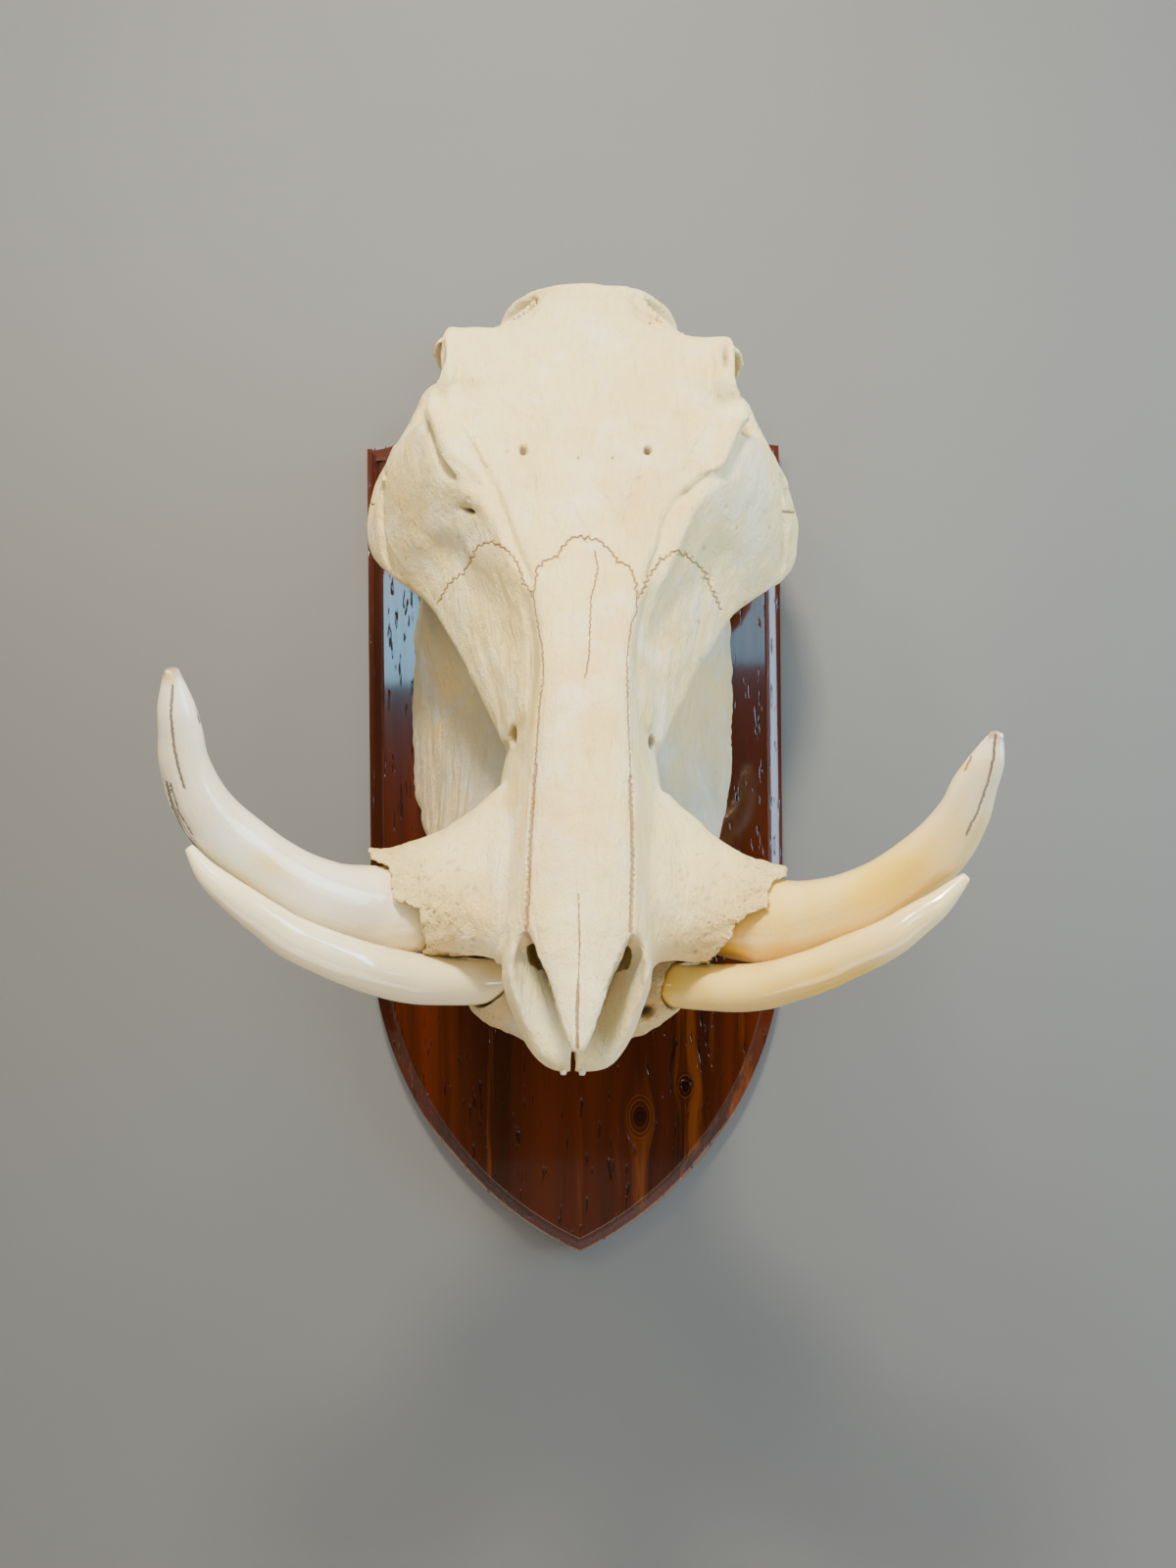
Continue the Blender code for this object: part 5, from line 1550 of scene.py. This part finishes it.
class SKULL_OT_tusks(bpy.types.Operator):
    """Build the two upper and two lower tusks in ivory"""

    bl_idname = "skull.tusks"
    bl_label = "Tusks"

    def execute(self, context):
        settings = context.scene.skull_tusk
        upper = ivory_surface(
            "upper_ivory", settings.upper, settings.stain, IVORY_CRACK, 0.27, 0.55, 0.0003)
        lower = ivory_surface(
            "lower_ivory", settings.lower, settings.stain, IVORY_CRACK, 0.10, 1.0, 0.0001)
        left = build_tusk(
            "upper_tusk_left", UPPER_TUSK_LEFT, upper, settings,
            LEFT_CRACKS, UPPER_LEFT_STAINS, UPPER_CHIP, UPPER_FLUTES)
        right = build_tusk(
            "upper_tusk_right", UPPER_TUSK_RIGHT, upper, settings,
            RIGHT_CRACKS, UPPER_RIGHT_STAINS, UPPER_CHIP, UPPER_FLUTES)
        left = build_tusk(
            "lower_tusk_left", LOWER_TUSK_LEFT, lower, settings,
            [], LOWER_LEFT_STAINS, LOWER_CHIP, LOWER_FLUTES)
        right = build_tusk(
            "lower_tusk_right", LOWER_TUSK_RIGHT, lower, settings,
            [], LOWER_RIGHT_STAINS, LOWER_CHIP, LOWER_FLUTES)
        return {"FINISHED"}


class SKULL_OT_shield(bpy.types.Operator):
    """Build the varnished wooden shield"""

    bl_idname = "skull.shield"
    bl_label = "Shield"

    def execute(self, context):
        settings = context.scene.skull_shield
        surface = wood_surface(settings)
        piece = new_piece(
            "shield_board", lambda bm: shield_board(bm, settings), Matrix.Identity(4), surface)
        for x, z, length in SCREWS:
            carve(piece, lambda bm: screw_hole(bm, x, z, length), "EXACT")
        piece.data.set_sharp_from_angle(angle=math.radians(38.0))
        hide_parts("shield_plaque")
        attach(piece, "root")
        return {"FINISHED"}


class SKULL_OT_stage(bpy.types.Operator):
    """Build the wall, the floor, the lights and the camera"""

    bl_idname = "skull.stage"
    bl_label = "Wall, floor, light and camera"

    def execute(self, context):
        settings = context.scene.skull_stage
        camera = bpy.data.cameras.new("camera")
        eye = bpy.data.objects.new("camera", camera)
        context.scene.collection.objects.link(eye)
        eye.location = EYE
        eye.rotation_euler = (math.radians(90), EYE_ROLL, 0.0)
        camera.sensor_width = SENSOR
        camera.lens = DRAWING_FOCUS / DRAWING_HEIGHT * SENSOR
        camera.clip_start = 0.02
        context.scene.camera = eye

        wall = new_piece("wall", wall_sheet, Matrix.Identity(4), wall_surface(settings.wall))
        floor = new_piece("floor", floor_sheet, Matrix.Identity(4), floor_surface(settings.floor))

        for name, place, size, share, colour in LIGHTS:
            lamp = bpy.data.lights.new(name, "AREA")
            lamp.shape = "RECTANGLE"
            lamp.size, lamp.size_y = size
            lamp.energy = settings.key_power * share
            lamp.color = colour
            holder = bpy.data.objects.new(name, lamp)
            context.scene.collection.objects.link(holder)
            holder.location = place
            aim = Vector(LIGHTS_AIM) - Vector(place)
            if name.startswith("window"):
                aim = Vector(WINDOW_DIRECTION)
            holder.rotation_euler = aim.to_track_quat("-Z", "Y").to_euler()
        world = bpy.data.worlds.new("room")
        world.use_nodes = True
        tree = world.node_tree
        where = tree.nodes.new("ShaderNodeTexCoord")
        axes = tree.nodes.new("ShaderNodeSeparateXYZ")
        rise = tree.nodes.new("ShaderNodeMapRange")
        rise.inputs["From Min"].default_value = -0.1
        rise.inputs["From Max"].default_value = 0.9
        rise.inputs["To Min"].default_value = settings.sky * 0.10
        rise.inputs["To Max"].default_value = settings.sky * 1.5
        tree.links.new(where.outputs["Generated"], axes.inputs[0])
        tree.links.new(axes.outputs["Z"], rise.inputs["Value"])
        tree.links.new(rise.outputs[0], tree.nodes["Background"].inputs["Strength"])
        tree.nodes["Background"].inputs["Color"].default_value = SKY
        context.scene.world = world
        return {"FINISHED"}


def wall_sheet(bm):
    """A wall with an opening that the shield covers."""
    hole = inset_outline(shield_outline(), 0.0012)
    count = len(hole)
    near = [bm.verts.new((x, WALL_Y, z)) for x, z in hole]
    far = []
    for x, z in hole:
        k = WALL_REACH / max(abs(x), abs(z))
        far.append(bm.verts.new((x * k, WALL_Y, z * k)))
    for i in range(count):
        j = (i + 1) % count
        bm.faces.new((near[i], near[j], far[j], far[i]))
    for face in bm.faces:
        face.normal_update()
        if face.normal.y > 0:
            face.normal_flip()


def floor_sheet(bm):
    """A floor well below the shield."""
    corners = [
        (-WALL_REACH, 0.0), (-WALL_REACH, -FLOOR_REACH), (WALL_REACH, -FLOOR_REACH), (WALL_REACH, 0.0),
    ]
    bm.faces.new([bm.verts.new((x, y, FLOOR_Z)) for x, y in corners])
    bmesh.ops.recalc_face_normals(bm, faces=bm.faces)


def wall_surface(colour):
    """Painted plaster; its back can be looked through."""
    paint = Surface("painted_plaster")
    mottled = paint.noise(1.3, 3.0, 0.5)
    darker = tuple(c * 0.93 for c in colour[:3]) + (1.0,)
    tone = paint.mix(paint.ramp(mottled, 0.3, 0.7), colour, darker)
    normal = paint.bump(paint.noise(350.0, 3.0, 0.6), 0.0004, 0.12)
    paint.finish(tone, 0.75, normal)
    clear = paint.node("ShaderNodeBsdfTransparent").outputs[0]
    back = paint.node("ShaderNodeNewGeometry").outputs["Backfacing"]
    both = paint.node("ShaderNodeMixShader", {0: back, 1: paint.shader.outputs[0], 2: clear}).outputs[0]
    paint.feed(paint.tree.nodes["Material Output"].inputs["Surface"], both)
    return paint.material


def floor_surface(colour):
    """Pale matt floor."""
    floor = Surface("pale_floor")
    darker = tuple(c * 0.94 for c in colour[:3]) + (1.0,)
    tone = floor.mix(floor.ramp(floor.noise(4.0, 3.0, 0.5), 0.3, 0.7), colour, darker)
    return floor.finish(tone, 0.7, floor.bump(floor.noise(200.0, 2.0), 0.0003, 0.1))


class SKULL_OT_carried(bpy.types.Operator):
    """Give the CAD nodes that stay their own materials"""

    bl_idname = "skull.carried"
    bl_label = "Teeth and screws"

    def execute(self, context):
        settings = context.scene.skull_tusk
        enamel = Surface("tooth_enamel")
        spots = enamel.noise(300.0, 3.0, 0.6)
        bands = enamel.noise(90.0, 3.0, 0.5, enamel.place((1.0, 1.0, 0.2)))
        tone = enamel.mix(enamel.ramp(bands, 0.45, 0.70, 0.0, 0.6), settings.enamel, TOOTH_GROOVE)
        enamel_made = enamel.finish(
            tone, enamel.ramp(spots, 0.3, 0.7, 0.22, 0.4), enamel.bump(spots, 0.0003, 0.4))
        steel = Surface("screw_steel")
        brushed = steel.noise(700.0, 2.0, 0.5, steel.place((1.0, 0.1, 1.0)))
        tone = steel.mix(steel.ramp(brushed, 0.3, 0.7), STEEL_LIGHT, STEEL_DARK)
        steel_made = steel.finish(
            tone, steel.ramp(brushed, 0.3, 0.7, 0.28, 0.42), steel.bump(brushed, 0.0001, 0.3),
            {"Metallic": 1.0})
        for name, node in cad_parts.items():
            if name.startswith("incisor") or "cheek_teeth" in name:
                surface = enamel_made
            elif name.startswith("mounting_screw"):
                surface = steel_made
            else:
                continue
            for spot in node.material_slots:
                spot.material = surface
        return {"FINISHED"}


class SKULL_PT_panel(bpy.types.Panel):
    """Lists the pieces of the skull mount"""

    bl_idname = "SKULL_PT_panel"
    bl_label = "Skull Mount"
    bl_space_type = "VIEW_3D"
    bl_region_type = "UI"
    bl_category = "Skull Mount"

    def draw(self, context):
        for step in STEPS:
            self.layout.operator(step)
        for group in ("skull_bone", "skull_tusk", "skull_shield", "skull_stage"):
            box = self.layout.box()
            settings = getattr(context.scene, group)
            for name in settings.__annotations__:
                box.prop(settings, name)


STEPS = ("skull.stage", "skull.shield", "skull.cranium", "skull.jaw", "skull.tusks", "skull.carried")
CLASSES = (
    BoneSettings, TuskSettings, ShieldSettings, StageSettings, SKULL_OT_cranium, SKULL_OT_jaw,
    SKULL_OT_tusks, SKULL_OT_shield, SKULL_OT_stage, SKULL_OT_carried, SKULL_PT_panel,
)


def register():
    for made in CLASSES:
        bpy.utils.register_class(made)
    bpy.types.Scene.skull_bone = PointerProperty(type=BoneSettings)
    bpy.types.Scene.skull_tusk = PointerProperty(type=TuskSettings)
    bpy.types.Scene.skull_shield = PointerProperty(type=ShieldSettings)
    bpy.types.Scene.skull_stage = PointerProperty(type=StageSettings)


def unregister():
    del bpy.types.Scene.skull_stage
    del bpy.types.Scene.skull_shield
    del bpy.types.Scene.skull_tusk
    del bpy.types.Scene.skull_bone
    for made in reversed(CLASSES):
        bpy.utils.unregister_class(made)


def main():
    """Build everything."""
    register()
    bpy.ops.skull.stage()
    bpy.ops.skull.shield()
    bpy.ops.skull.cranium()
    bpy.ops.skull.jaw()
    bpy.ops.skull.tusks()
    bpy.ops.skull.carried()


if __name__ == "__main__":
    main()
